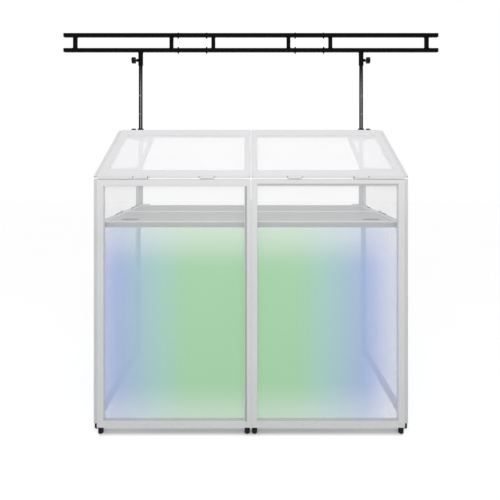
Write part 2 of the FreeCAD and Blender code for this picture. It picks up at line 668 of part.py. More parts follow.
# Sleeves that hold the truss on the poles
sleeve_low = TRUSS_BOTTOM - SLEEVE_L
sleeve = joined(
    rod(V(POLE_X, POLE_Y, sleeve_low), ALONG_Z, POLE_TUBE_R, SLEEVE_L),
    Part.makeCone(POLE_TUBE_R, SLEEVE_FLARE_R, SLEEVE_FLARE_H,
                  V(POLE_X, POLE_Y, TRUSS_BOTTOM - SLEEVE_FLARE_H), ALONG_Z),
    knob_boss(UPPER_KNOB_Z))
sleeve = sleeve.cut(rod(V(POLE_X, POLE_Y, sleeve_low - 1), ALONG_Z, POLE_R + SLEEVE_ROOM, SLEEVE_L + 2))
sleeve = sleeve.cut(knob_hole(UPPER_KNOB_Z))


def clamp_knob(z):
    # A lobed hand knob on a threaded stem that presses on the pole.
    head_in = POLE_X + KNOB_OUT - KNOB_T
    outer_rim = POLE_X + KNOB_OUT - KNOB_ROUND / 2
    head = rod(V(head_in, POLE_Y, z), ALONG_X, KNOB_R, KNOB_T)
    head = rounded(head, KNOB_ROUND, lambda edge: edge.BoundBox.XMin > outer_rim)
    for lobe in range(KNOB_LOBES):
        angle = 2 * math.pi * (lobe + 0.5) / KNOB_LOBES
        across, up = KNOB_SCALLOP_AT * math.cos(angle), KNOB_SCALLOP_AT * math.sin(angle)
        head = head.cut(rod(V(head_in - 1, POLE_Y + across, z + up), ALONG_X, KNOB_SCALLOP_R, KNOB_T + 2))
    tip = POLE_X + POLE_R + KNOB_TIP_GAP
    return joined(head, rod(V(tip, POLE_Y, z), ALONG_X, KNOB_STEM_R, head_in + 1 - tip))


upper_knob = clamp_knob(UPPER_KNOB_Z)
lower_knob = clamp_knob(LOWER_KNOB_Z)

# Truss sections: two chords and their rungs, joined by bars inside the chords
chord_y0, chord_y1 = POLE_Y - CHORD_W / 2, POLE_Y + CHORD_W / 2
lower_chord = (TRUSS_BOTTOM, TRUSS_BOTTOM + CHORD_W)
upper_chord = (TRUSS_TOP - CHORD_W, TRUSS_TOP)
splice_bolts_x = (SPLICE_X - SPLICE_BOLT_OFF, SPLICE_X + SPLICE_BOLT_OFF)
truss_end = TRUSS_L / 2 - END_CAP_T


def splice_bolt_seats():
    seats = []
    for bolt_x in splice_bolts_x:
        for low, high in (lower_chord, upper_chord):
            seats.append(V(bolt_x, POLE_Y, high))
    return seats


DOWN = V(0, 0, -1)
splice_reach = CHORD_W + SPLICE_HEAD_H
splice_holes = [bolt_hole(seat, DOWN, splice_reach, SPLICE_BOLT_R) for seat in splice_bolt_seats()]
splice_holes += [mirrored(hole) for hole in splice_holes]


def truss_section(x0, x1, rungs_x):
    pieces = []
    for low, high in (lower_chord, upper_chord):
        pieces.append(square_tube(x0, x1, chord_y0, chord_y1, low, high, ALONG_X, CHORD_WALL, CHORD_EDGE_R))
    for rung_x in rungs_x:
        rung = square_tube(rung_x - CHORD_W / 2, rung_x + CHORD_W / 2,
                           POLE_Y - RUNG_D / 2, POLE_Y + RUNG_D / 2,
                           lower_chord[1] - RUNG_SINK, upper_chord[0] + RUNG_SINK,
                           ALONG_Z, CHORD_WALL, CHORD_EDGE_R)
        drain = rod(V(rung_x, POLE_Y, (lower_chord[1] + upper_chord[0]) / 2), ALONG_Y, DRAIN_R, CHORD_W)
        pieces.append(rung.cut(drain))
    section = joined(*pieces)
    for hole in splice_holes:
        section = section.cut(hole)
    return section


truss_right = truss_section(SPLICE_X + SPLICE_GAP, truss_end,
                            (SPLICE_X + RUNG_FROM_SPLICE, TRUSS_L / 2 - RUNG_FROM_END))
middle_rung = SPLICE_X - RUNG_FROM_SPLICE
truss_middle = truss_section(-SPLICE_X, SPLICE_X, (-middle_rung, middle_rung))

bar_half = CHORD_W / 2 - CHORD_WALL - SPLICE_ROOM
splice_bars = []
end_plugs = []
for low, high in (lower_chord, upper_chord):
    middle_z = (low + high) / 2
    bar = square_tube(SPLICE_X - SPLICE_L / 2, SPLICE_X + SPLICE_L / 2, POLE_Y - bar_half, POLE_Y + bar_half,
                      middle_z - bar_half, middle_z + bar_half, ALONG_X, SPLICE_WALL, SPLICE_ROOM)
    for hole in splice_holes:
        bar = bar.cut(hole)
    splice_bars.append(bar)
    cap = box(truss_end, truss_end + END_CAP_T, chord_y0, chord_y1, low, high)
    cap = rounded(cap, CHORD_EDGE_R, runs_along(ALONG_X))
    tongue = box(truss_end - END_PLUG_L, truss_end + 1, POLE_Y - bar_half, POLE_Y + bar_half,
                 middle_z - bar_half, middle_z + bar_half)
    end_plugs.append(joined(cap, tongue))

splice_bolts = []
for seat in splice_bolt_seats():
    one = bolt(seat, DOWN, splice_reach, SPLICE_BOLT_R, SPLICE_HEAD_R, SPLICE_HEAD_H)
    nut = hexagon(V(seat.x, seat.y, seat.z - CHORD_W), DOWN, SPLICE_HEAD_R, SPLICE_HEAD_H)
    splice_bolts.append(joined(one, nut))

# Light bar: an extruded channel with a board, a lens and two end caps, on pivots between two brackets
led_front, led_back = LED_Y - LED_D / 2, LED_Y + LED_D / 2
led_low, led_high = LED_Z - LED_H / 2, LED_Z + LED_H / 2
led_end = LED_L / 2
channel_end = led_end - LED_CAP_T
led_housing = box(-channel_end, channel_end, led_front, led_back, led_low, led_high)
led_housing = led_housing.cut(box(-led_end, led_end, led_front - 1, led_back - LED_WALL,
                                  led_low + LED_WALL, led_high - LED_WALL))
lens_front = led_front + LED_LENS_RECESS
led_lens = box(-channel_end, channel_end, lens_front, lens_front + LED_LENS_T,
               led_low + LED_WALL, led_high - LED_WALL)
led_board = box(-channel_end + LED_BOARD_EDGE, channel_end - LED_BOARD_EDGE,
                led_back - LED_WALL - LED_BOARD_T, led_back - LED_WALL,
                led_low + LED_BOARD_EDGE, led_high - LED_BOARD_EDGE)
pivot_seat = led_end + LED_BRACKET_GAP + LED_BRACKET_T + RUNNING_GAP
pivot_tip = channel_end + LED_PIVOT_GRIP / 2
INWARDS = V(-1, 0, 0)
led_pivot = bolt(V(pivot_seat, LED_Y, LED_Z), INWARDS, pivot_seat - pivot_tip, LED_PIVOT_R, LED_PIVOT_HEAD_R)
led_cap = box(channel_end, led_end, led_front, led_back, led_low, led_high)
led_cap = rounded(led_cap, LED_CAP_ROUND, runs_along(ALONG_X))
led_cap = led_cap.cut(bolt_hole(V(led_end, LED_Y, LED_Z), INWARDS, led_end - pivot_tip, LED_PIVOT_R))
bracket_in = led_end + LED_BRACKET_GAP
tray_underside = TABLE_TOP - TRAY_T
led_bracket = joined(
    box(bracket_in, bracket_in + LED_BRACKET_T, LED_Y - LED_BRACKET_W / 2, LED_Y + LED_BRACKET_W / 2,
        LED_Z - LED_BRACKET_BELOW, tray_underside),
    box(bracket_in, bracket_in + LED_BRACKET_FOOT, LED_Y - LED_BRACKET_W / 2, LED_Y + LED_BRACKET_W / 2,
        tray_underside - LED_BRACKET_T, tray_underside))
led_bracket = led_bracket.cut(rod(V(bracket_in - 1, LED_Y, LED_Z), ALONG_X,
                                  LED_PIVOT_R + PIN_FIT, LED_BRACKET_T + 2))

# Every node by name: the fixed part first, then what swings, tilts, slides and turns
nodes = {
    "front_right_frame": front_frame,
    "front_left_frame": mirrored(front_frame),
    "front_right_cloth": front_cloth,
    "front_left_cloth": mirrored(front_cloth),
    "front_feet": pair(front_feet),
    "coupling_plates": group(coupling_plates),
    "booth_bolts": group(booth_bolts),
    "front_tilt_leaves": pair(group([lower for lower, upper, pin in front_hinges])),
    "front_tilt_pins": pair(group([pin for lower, upper, pin in front_hinges])),
    "front_corner_leaves": pair(group([front for front, side, pin in corner_hinges])),
    "corner_pins": pair(group([pin for front, side, pin in corner_hinges])),
    "table_front_tray": front_tray,
    "table_rear_tray": rear_tray,
    "table_hooks": pair(group(table_hooks)),
    "table_spacers": pair(group(table_spacers)),
    "pole_brackets": pair(pole_bracket),
    "pole_tubes": pair(pole_tube),
    "pole_collars": pair(collar),
    "led_brackets": pair(led_bracket),
    "inner_poles": pair(inner_pole),
    "pole_sleeves": pair(sleeve),
    "truss_right": truss_right,
    "truss_left": mirrored(truss_right),
    "truss_middle": truss_middle,
    "splice_bars": pair(group(splice_bars)),
    "splice_bolts": pair(group(splice_bolts)),
    "truss_end_plugs": pair(group(end_plugs)),
    "led_housing": led_housing,
    "led_lens": led_lens,
    "led_board": led_board,
    "led_end_caps": pair(led_cap),
    "led_pivot_bolts": pair(led_pivot),
}
right_hand_nodes = {
    "side_{}_frame": side_frame,
    "side_{}_cloth": side_cloth,
    "side_{}_feet": side_feet,
    "side_{}_corner_leaves": group([side for front, side, pin in corner_hinges]),
    "side_{}_tilt_leaves": group([lower for lower, upper, pin in side_hinges]),
    "side_{}_tilt_pins": group([pin for lower, upper, pin in side_hinges]),
    "upper_front_{}_frame": upper_front_frame,
    "upper_front_{}_cloth": upper_front_cloth,
    "upper_front_{}_leaves": group([upper for lower, upper, pin in front_hinges]),
    "upper_side_{}_frame": upper_side_frame,
    "upper_side_{}_cloth": upper_side_cloth,
    "upper_side_{}_leaves": group([upper for lower, upper, pin in side_hinges]),
    "upper_{}_knob": upper_knob,
    "lower_{}_knob": lower_knob,
}
for name, shape in right_hand_nodes.items():
    nodes[name.format("right")] = shape
    nodes[name.format("left")] = mirrored(shape)

os.makedirs("parts", exist_ok=True)
for name, shape in nodes.items():
    placed = shape.copy()
    placed.translate(V(0, Y_SHIFT, 0))
    placed.exportStep("parts/" + name + ".step")
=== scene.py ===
import json
import math

import bmesh
import bpy
from mathutils import Matrix, Vector


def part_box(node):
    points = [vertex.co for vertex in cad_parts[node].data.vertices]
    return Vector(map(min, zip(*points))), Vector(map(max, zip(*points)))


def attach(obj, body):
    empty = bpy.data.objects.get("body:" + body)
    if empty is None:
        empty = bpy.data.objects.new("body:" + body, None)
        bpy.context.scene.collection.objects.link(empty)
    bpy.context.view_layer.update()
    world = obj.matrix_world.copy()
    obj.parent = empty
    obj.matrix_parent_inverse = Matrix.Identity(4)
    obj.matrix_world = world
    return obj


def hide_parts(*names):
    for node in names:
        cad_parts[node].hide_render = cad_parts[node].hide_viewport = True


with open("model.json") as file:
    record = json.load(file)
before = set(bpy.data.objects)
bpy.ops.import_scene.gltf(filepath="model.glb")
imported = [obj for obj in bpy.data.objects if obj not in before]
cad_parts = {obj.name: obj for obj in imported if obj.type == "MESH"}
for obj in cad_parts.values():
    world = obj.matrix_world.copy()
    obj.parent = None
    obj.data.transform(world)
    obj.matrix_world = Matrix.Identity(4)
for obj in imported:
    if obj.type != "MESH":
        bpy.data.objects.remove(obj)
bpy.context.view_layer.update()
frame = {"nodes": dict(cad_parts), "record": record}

nodes = frame["nodes"]


# Panel frames, pole tubes and pole brackets. Mitred steel tube and plate, welded and ground flush, under a
# satin white powder coat. The coat is a little scuffed near the floor. Higher up its colour is painted
# lighter, as painted light from above.
FRAME_WHITE = (0.79, 0.79, 0.80, 1.0)
FRAME_WHITE_DULL = (0.72, 0.72, 0.735, 1.0)
FRAME_WHITE_PAINTED_LIGHT = (0.85, 0.85, 0.86, 1.0)
PAINTED_LIGHT_Z = (0.70, 0.92)
PAINTED_LIGHT_SHARE = 0.45
SCUFF_GREY = (0.50, 0.49, 0.48, 1.0)
SCUFF_Z = (0.10, 0.02)
SCUFF_PATCHES = (0.52, 0.66)
SCUFF_SHARE = 0.12
PEEL_SCALE = 900.0
PEEL_DEPTH = 0.00012


class Wire:
    # A value inside a material. Arithmetic on it adds Math nodes to that material.
    def __init__(self, finish, socket):
        self.finish = finish
        self.socket = socket

    def math(self, operation, first, second=0.0):
        return self.finish.node("Math", {"operation": operation}, {0: first, 1: second})

    def __add__(self, other):
        return self.math("ADD", self, other)

    def __sub__(self, other):
        return self.math("SUBTRACT", self, other)

    def __rsub__(self, other):
        return self.math("SUBTRACT", other, self)

    def __mul__(self, other):
        return self.math("MULTIPLY", self, other)

    def __truediv__(self, other):
        return self.math("DIVIDE", self, other)

    def __abs__(self):
        return self.math("ABSOLUTE", self)

    __radd__ = __add__
    __rmul__ = __mul__

    def sine(self):
        return self.math("SINE", self)

    def root(self):
        return self.math("SQRT", self)

    def fraction(self):
        return self.math("FRACT", self)

    def rise(self, start, end):
        # Goes smoothly from 0 where the value is start to 1 where it is end. Start may be the larger.
        ease = {"interpolation_type": "SMOOTHSTEP"}
        return self.finish.node("MapRange", ease, {"Value": self, "From Min": start, "From Max": end})


class Finish:
    # The nodes of a material, or of the world, around its one shader.
    def __init__(self, owner, shader="Principled BSDF"):
        self.owner = owner
        owner.use_nodes = True
        self.tree = owner.node_tree
        self.shader = self.tree.nodes[shader]

    def node(self, kind, settings, inputs, output=0):
        made = self.tree.nodes.new("ShaderNode" + kind)
        for name, value in settings.items():
            if name == "stops":
                self.set_stops(made.color_ramp, value)
            else:
                setattr(made, name, value)
        self.fill(made, inputs)
        return Wire(self, made.outputs[output])

    def set_stops(self, ramp, stops):
        while len(ramp.elements) < len(stops):
            ramp.elements.new(1.0)
        for element, (position, colour) in zip(ramp.elements, stops):
            element.position = position
            element.color = colour

    def fill(self, target, inputs):
        for name, value in inputs.items():
            if isinstance(value, Wire):
                self.tree.links.new(value.socket, target.inputs[name])
            else:
                target.inputs[name].default_value = value

    def place(self):
        return self.node("TexCoord", {}, {}, "Object")

    def along(self, axis):
        return self.node("SeparateXYZ", {}, {0: self.place()}, axis)

    def noise(self, scale, detail=2.0):
        return self.node("TexNoise", {}, {"Vector": self.place(), "Scale": scale, "Detail": detail})

    def mix(self, share, first, second):
        return self.node("Mix", {"data_type": "RGBA"}, {0: share, 6: first, 7: second}, 2)

    def bump(self, height, depth):
        return self.node("Bump", {}, {"Height": height, "Distance": depth}, "Normal")

    def wear(self, inputs):
        # Gives the shader its values and wires.
        self.fill(self.shader, inputs)
        return self

    def cover(self, names):
        # Puts the finish on CAD nodes.
        for name in names:
            for place in nodes[name].material_slots:
                place.material = self.owner


def new_finish(name):
    return Finish(bpy.data.materials.new(name))


def in_slot(slot):
    return [row["node"] for row in frame["record"]["subparts"] if row["material_slot"] == slot]


white_coat = new_finish("white_powder_coat")
coat_cloud = white_coat.noise(7.0, 4.0)
coat_height = white_coat.along("Z")
scuff_marks = white_coat.noise(60.0, 6.0).rise(*SCUFF_PATCHES) * coat_height.rise(*SCUFF_Z)
coat_colour = white_coat.mix(coat_cloud, FRAME_WHITE, FRAME_WHITE_DULL)
# Painted light: the coat is made lighter above 0.7 m, for the light that falls from above.
coat_colour = white_coat.mix(coat_height.rise(*PAINTED_LIGHT_Z) * PAINTED_LIGHT_SHARE, coat_colour, FRAME_WHITE_PAINTED_LIGHT)
white_coat.wear({
    "Base Color": white_coat.mix(scuff_marks * SCUFF_SHARE, coat_colour, SCUFF_GREY),
    "Roughness": coat_cloud * 0.16 + 0.34 + scuff_marks * 0.2,
    "Specular IOR Level": 0.4,
    "Normal": white_coat.bump(white_coat.noise(PEEL_SCALE), PEEL_DEPTH),
})
white_coat.cover(in_slot("white_frame"))


# Stretched cloths. Thin white stretch knit, hemmed all round with a zigzag stitch and pulled flat over the
# backs of the frames. The upper fronts have a second one at their face. The lower ones carry a painted glow,
# in their colour and emission, for the light of the bar inside. The upper face cloths carry a faint painted
# glow for daylight through them.
CLOTH_THICKNESS = 0.0009
CLOTH_DISH = 0.0012
CLOTH_CUT = 0.05
CLOTH_STRETCH = 1.04
HEM_WIDTH = 0.0072
HEM_THICKNESS = 0.0005
HEM_CLEAR = 0.000024
HEM_RIB_TURNS = 4000.0
SEAM_OUT = 0.00252
STITCH_PITCH = 0.005
STITCH_SIZE = (0.0038, 0.0005, 0.0004)
STITCH_TURN = math.radians(38.0)
KNIT_PITCH = 0.0012
LOOP_DEPTH = 0.0001
LOOP_GAPS = 0.03
CLOTH_WHITE = (0.95, 0.95, 0.96, 1.0)
CLOTH_SHADE = (0.92, 0.92, 0.93, 1.0)
FRONT_OPACITY = 0.28
FRONT_LIT_OPACITY = 0.96
SIDE_OPACITY = 0.22
SIDE_LIT_OPACITY = 0.26
UPPER_FRONT_OPACITY = 0.30
UPPER_FACE_OPACITY = 0.60
# Painted light: a faint glow on the upper face cloths, for daylight through them.
UPPER_PAINTED_DAYLIGHT = (0.15, 0.15, 0.155, 1.0)
UPPER_SIDE_OPACITY = 0.22
# From here to SIDE_STOPS: the reach, strength and colours of the glow painted on the lower cloths.
LIT_Z = (0.779, 0.773)
LIT_DARKENING = 0.28
GLOW_SHARE = 0.4
UPPER_FALL = 0.41
UPPER_FALL_Z = (0.60, 0.79)
LOWER_FALL = 0.38
LOWER_FALL_Z = (0.20, 0.02)
STRAY_SHARE = 0.08
STRAY_Z = (0.90, 0.80)
FRONT_LIT_MIDDLE = -0.036
FRONT_LIT_REACH = 0.60
FRONT_FALL = 0.58
FRONT_FALL_FROM = (0.75, 1.0)
SIDE_LIT_MIDDLE = 0.10
SIDE_LIT_REACH = 0.42
SIDE_FALL = 0.5
SIDE_FALL_FROM = (0.3, 1.0)
GREEN_GLOW = (0.39, 0.66, 0.41, 1.0)
CYAN_GLOW = (0.39, 0.63, 0.56, 1.0)
BLUE_GLOW = (0.40, 0.52, 0.70, 1.0)
DEEP_GLOW = (0.36, 0.44, 0.80, 1.0)
FRONT_STOPS = [(0.33, GREEN_GLOW), (0.52, CYAN_GLOW), (0.73, BLUE_GLOW), (0.90, DEEP_GLOW)]
SIDE_STOPS = [(0.35, BLUE_GLOW), (1.0, DEEP_GLOW)]
BLACK = (0.0, 0.0, 0.0, 1.0)
FRAME_DEPTH = 0.020
FRAME_LAP = 0.008
FACE_CLOTH_BACK = 0.0012
FACE_CLOTH_THICKNESS = 0.0006
MERGE = 1e-6
FACING = 0.5
FLAT_ANGLE = 0.01
FRONT = Vector((0.0, -1.0, 0.0))
UP = Vector((0.0, 0.0, 1.0))
SIDES = {"right": 1.0, "left": -1.0}


def copy_of(name):
    # A merged copy of a CAD node's mesh to work on.
    shape = bmesh.new()
    shape.from_mesh(nodes[name].data)
    bmesh.ops.remove_doubles(shape, verts=shape.verts, dist=MERGE)
    return shape


def outer_side(name, outward):
    # The side of a flat CAD piece that looks outwards, in as few faces as it has.
    shape = copy_of(name)
    others = [face for face in shape.faces if face.normal.dot(outward) < FACING]
    bmesh.ops.delete(shape, geom=others, context="FACES")
    bmesh.ops.dissolve_limit(shape, angle_limit=FLAT_ANGLE, verts=shape.verts, edges=shape.edges)
    return shape


def finished(name, shape, body, finish):
    # Turns a worked shape into a piece that rides on a body.
    mesh = bpy.data.meshes.new(name)
    shape.to_mesh(mesh)
    shape.free()
    mesh.materials.append(finish.owner)
    made = bpy.data.objects.new(name, mesh)
    bpy.context.scene.collection.objects.link(made)
    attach(made, body)
    return made


def thicken(shape, thickness):
    bmesh.ops.solidify(shape, geom=shape.faces[:], thickness=thickness)
    bmesh.ops.recalc_face_normals(shape, faces=shape.faces)


def border(shape, width):
    # Cuts a band of even width along the outline of a flat shape, and returns its faces.
    return bmesh.ops.inset_region(shape, faces=shape.faces[:], thickness=width, use_even_offset=True,
                                  use_boundary=True)["faces"]


def knit(name, opacity, glow=None, lit_opacity=0.0, painted_daylight=BLACK):
    # Light passes both faces of a cloth, so each face lets through the root of what the cloth does.
    cloth = new_finish(name)
    weave = cloth.node("UVMap", {"uv_map": "weave"}, {}, "UV")
    turns = 2.0 * math.pi / KNIT_PITCH
    wales = cloth.node("SeparateXYZ", {}, {0: weave}, "X") * turns
    courses = cloth.node("SeparateXYZ", {}, {0: weave}, "Y") * turns
    loops = wales.sine() * courses.sine()
    cloud = cloth.noise(4.0, 3.0)
    colour = cloth.mix(cloud, CLOTH_WHITE, CLOTH_SHADE)
    clear = 1.0 - opacity + loops * LOOP_GAPS
    cloth.wear({
        "Base Color": colour,
        "Roughness": cloud * 0.1 + 0.8,
        "Alpha": 1.0 - clear.root(),
        "Specular IOR Level": 0.2,
        "Sheen Weight": 0.05,
        "Normal": cloth.bump(loops, LOOP_DEPTH),
        # Painted light, where set: emission for light coming through the cloth from behind.
        "Emission Color": painted_daylight,
        "Emission Strength": 1.0,
    })
    # Painted light: the glow tints and darkens the colour, makes the cloth less clear and adds emission.
    if glow:
        lit, strength = glow(cloth)
        cloth.wear({
            "Base Color": cloth.mix(strength, colour, cloth.mix(LIT_DARKENING, lit, BLACK)),
            "Alpha": 1.0 - (clear - strength * (lit_opacity - opacity)).root(),
            "Emission Color": cloth.mix(strength * GLOW_SHARE, BLACK, lit),
        })
    return cloth


def glow_strength(cloth):
    # The strength of the painted glow: full in the middle of the height, weaker under the table and near the
    # floor, and cut off by the table.
    height = cloth.along("Z")
    falls_up = 1.0 - UPPER_FALL * height.rise(*UPPER_FALL_Z)
    falls_down = 1.0 - LOWER_FALL * height.rise(*LOWER_FALL_Z)
    stray = STRAY_SHARE * height.rise(*STRAY_Z)
    return stray + (1.0 - stray) * height.rise(*LIT_Z) * falls_up * falls_down


def front_glow(cloth):
    away = abs(cloth.along("X") - FRONT_LIT_MIDDLE) / FRONT_LIT_REACH
    lit = cloth.node("ValToRGB", {"stops": FRONT_STOPS}, {0: away})
    return lit, glow_strength(cloth) * (1.0 - FRONT_FALL * away.rise(*FRONT_FALL_FROM))


def side_glow(cloth):
    away = abs(cloth.along("Y") - SIDE_LIT_MIDDLE) / SIDE_LIT_REACH
    lit = cloth.node("ValToRGB", {"stops": SIDE_STOPS}, {0: away})
    return lit, glow_strength(cloth) * (1.0 - SIDE_FALL * away.rise(*SIDE_FALL_FROM))


def cut_across(shape, axis, start, end):
    # Cuts a flat shape into strips, so that it can be bent.
    for step in range(1, math.ceil((end - start) / CLOTH_CUT)):
        geometry = shape.verts[:] + shape.edges[:] + shape.faces[:]
        point = axis * (start + step * CLOTH_CUT)
        bmesh.ops.bisect_plane(shape, geom=geometry, plane_co=point, plane_no=axis)


def sew_zigzag(shape, start, end, outward):
    # A row of slanted stitches from one corner of a hem to the next.
    run = end - start
    count = int(run.length / STITCH_PITCH)
    course = run.normalized()
    turned = Matrix((course, outward.cross(course), outward)).transposed().to_4x4()
    for index in range(count):
        slant = Matrix.Rotation(STITCH_TURN if index % 2 else -STITCH_TURN, 4, "Z")
        place = Matrix.Translation(start + run * ((index + 0.5) / count))
        size = Matrix.Diagonal((*STITCH_SIZE, 1.0))
        bmesh.ops.create_cube(shape, size=1.0, matrix=place @ turned @ slant @ size)


def lie_of(shape):
    # The outward direction of a flat shape, and its own directions across and up.
    face_out = shape.faces[:][0].normal.copy()
    across = face_out.cross(UP).normalized()
    return across, face_out, across.cross(face_out)


def stretch(shape, thickness, across, face_out, up):
    # Pulls a flat shape slightly hollow, thickens it and lays the knit along it. Returns its width and height
    # in a list.
    reach = []
    for axis in (across, up):
        places = [vert.co.dot(axis) for vert in shape.verts]
        reach.append((axis, min(places), max(places)))
    for axis, start, end in reach:
        cut_across(shape, axis, start, end)
    for vert in shape.verts:
        dish = CLOTH_DISH
        for axis, start, end in reach:
            dish *= math.sin(math.pi * (vert.co.dot(axis) - start) / (end - start))
        vert.co -= face_out * dish
    thicken(shape, thickness)
    weave = shape.loops.layers.uv.new("weave")
    for face in shape.faces:
        for loop in face.loops:
            loop[weave].uv = (loop.vert.co.dot(across), loop.vert.co.dot(up))
    return [end - start for axis, start, end in reach]


def hang_cloth(panel, body, outward, finish):
    name = panel + "_cloth"
    shape = outer_side(name, outward)
    across, face_out, up = lie_of(shape)
    area = sum(face.calc_area() for face in shape.faces)

    hem = shape.copy()
    band = border(hem, HEM_WIDTH)
    seam = [edge for edge in hem.edges if {face in band for face in edge.link_faces} == {True, False}]
    behind = -face_out * (CLOTH_THICKNESS + HEM_THICKNESS)
    thread = bmesh.new()
    for edge in seam:
        start, end = (vert.co for vert in edge.verts)
        inside = [face for face in edge.link_faces if face not in band][0]
        out = ((start + end) / 2 - inside.calc_center_median()).normalized() * SEAM_OUT
        sew_zigzag(thread, start + behind + out, end + behind + out, -face_out)
    bmesh.ops.delete(hem, geom=[face for face in hem.faces if face not in band], context="FACES")
    bmesh.ops.translate(hem, verts=hem.verts, vec=-face_out * (CLOTH_THICKNESS + HEM_CLEAR))
    thicken(hem, HEM_THICKNESS)

    size = stretch(shape, CLOTH_THICKNESS, across, face_out, up)
    cloth = finished(panel + "_stretch_cloth", shape, body, finish)
    tape = finished(panel + "_cloth_hem", hem, body, hem_cloth)
    stitches = finished(panel + "_cloth_stitches", thread, body, sewing_thread)
    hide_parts(name)
    [side / CLOTH_STRETCH for side in size]
    area / CLOTH_STRETCH ** 2


def face_cloth(panel, body, outward, finish):
    # A second cloth, cut to the window and held in the mouth of the frame.
    shape = outer_side(panel + "_cloth", outward)
    across, face_out, up = lie_of(shape)
    bmesh.ops.delete(shape, geom=border(shape, FRAME_LAP), context="FACES")
    bmesh.ops.translate(shape, verts=shape.verts, vec=face_out * (FRAME_DEPTH - FACE_CLOTH_BACK))
    area = sum(face.calc_area() for face in shape.faces)
    size = stretch(shape, FACE_CLOTH_THICKNESS, across, face_out, up)
    cloth = finished(panel + "_face_cloth", shape, body, finish)
    [side / CLOTH_STRETCH for side in size]
    area / CLOTH_STRETCH ** 2


hem_cloth = new_finish("white_hem_tape")
hem_ribs = (hem_cloth.along("Z") * HEM_RIB_TURNS).sine()
hem_cloth.wear({
    "Base Color": hem_cloth.mix(hem_cloth.noise(30.0, 3.0), CLOTH_WHITE, CLOTH_SHADE),
    "Roughness": 0.85,
    "Specular IOR Level": 0.2,
    "Normal": hem_cloth.bump(hem_ribs, LOOP_DEPTH),
})
sewing_thread = new_finish("white_sewing_thread")
sewing_thread.wear({
    "Base Color": sewing_thread.mix(sewing_thread.noise(400.0), FRAME_WHITE, SCUFF_GREY),
    "Roughness": 0.6,
})
front_knit = knit("front_stretch_knit", FRONT_OPACITY, front_glow, FRONT_LIT_OPACITY)
side_knit = knit("side_stretch_knit", SIDE_OPACITY, side_glow, SIDE_LIT_OPACITY)
upper_front_knit = knit("upper_front_stretch_knit", UPPER_FRONT_OPACITY)
upper_face_knit = knit("upper_face_stretch_knit", UPPER_FACE_OPACITY, painted_daylight=UPPER_PAINTED_DAYLIGHT)
upper_side_knit = knit("upper_side_stretch_knit", UPPER_SIDE_OPACITY)
for hand, sign in SIDES.items():
    sideways = Vector((sign, 0.0, 0.0))
    hang_cloth("front_" + hand, "booth", FRONT, front_knit)
    hang_cloth("side_" + hand, "side_" + hand, sideways, side_knit)
    hang_cloth("upper_front_" + hand, "upper_front_" + hand, FRONT, upper_front_knit)
    face_cloth("upper_front_" + hand, "upper_front_" + hand, FRONT, upper_face_knit)
    hang_cloth("upper_side_" + hand, "upper_side_" + hand, sideways, upper_side_knit)


# Edge beads of the front windows. Grey strips that stand in for shade lines at the window edges, so they are
# painted shade: one lies on the sill of each window, in front of the cloth, and one runs along the frame's
# face, over the right window and beside the left one.
BEAD_HEIGHT = 0.0015
BEAD_DEPTH = 0.0098
BEAD_BACK = 0.0065
BEAD_ROUND = 0.0005
STRIP_WIDTH = 0.0066
STRIP_INSET = 0.0025
STRIP_DEPTH = 0.0008
STRIP_ROUND = 0.0003
# Painted shade: the greys of the strips, each set for the shade line it stands in for.
INNER_SHADE_GREY = (0.40, 0.40, 0.41, 1.0)
INNER_SHADE_GREY_WORN = (0.47, 0.47, 0.475, 1.0)
TOP_SHADE_GREY = (0.49, 0.49, 0.50, 1.0)
TOP_SHADE_GREY_WORN = (0.57, 0.57, 0.575, 1.0)
SILL_SHADE_GREY = (0.62, 0.64, 0.62, 1.0)
SILL_SHADE_GREY_WORN = (0.68, 0.70, 0.68, 1.0)


def soften(shape, geometry, rounding, affect="EDGES", segments=2):
    bmesh.ops.bevel(shape, geom=geometry, offset=rounding, offset_type="OFFSET", affect=affect,
                    segments=segments, profile=0.5, material=-1)


def add_bar(shape, low, high, rounding):
    # A straight bar between two corners, with rounded edges.
    place = Matrix.Translation((low + high) / 2) @ Matrix.Diagonal((*(high - low), 1.0))
    verts = bmesh.ops.create_cube(shape, size=1.0, matrix=place)["verts"]
    edges = list({edge for vert in verts for edge in vert.link_edges})
    soften(shape, edges, rounding)


def soft_rubber(name, fresh, worn):
    rubber = new_finish(name)
    rubber.wear({
        "Base Color": rubber.mix(rubber.noise(90.0, 4.0), fresh, worn),
        "Roughness": 0.7,
        "Specular IOR Level": 0.2,
        "Normal": rubber.bump(rubber.noise(1500.0), 0.0001),
    })
    return rubber


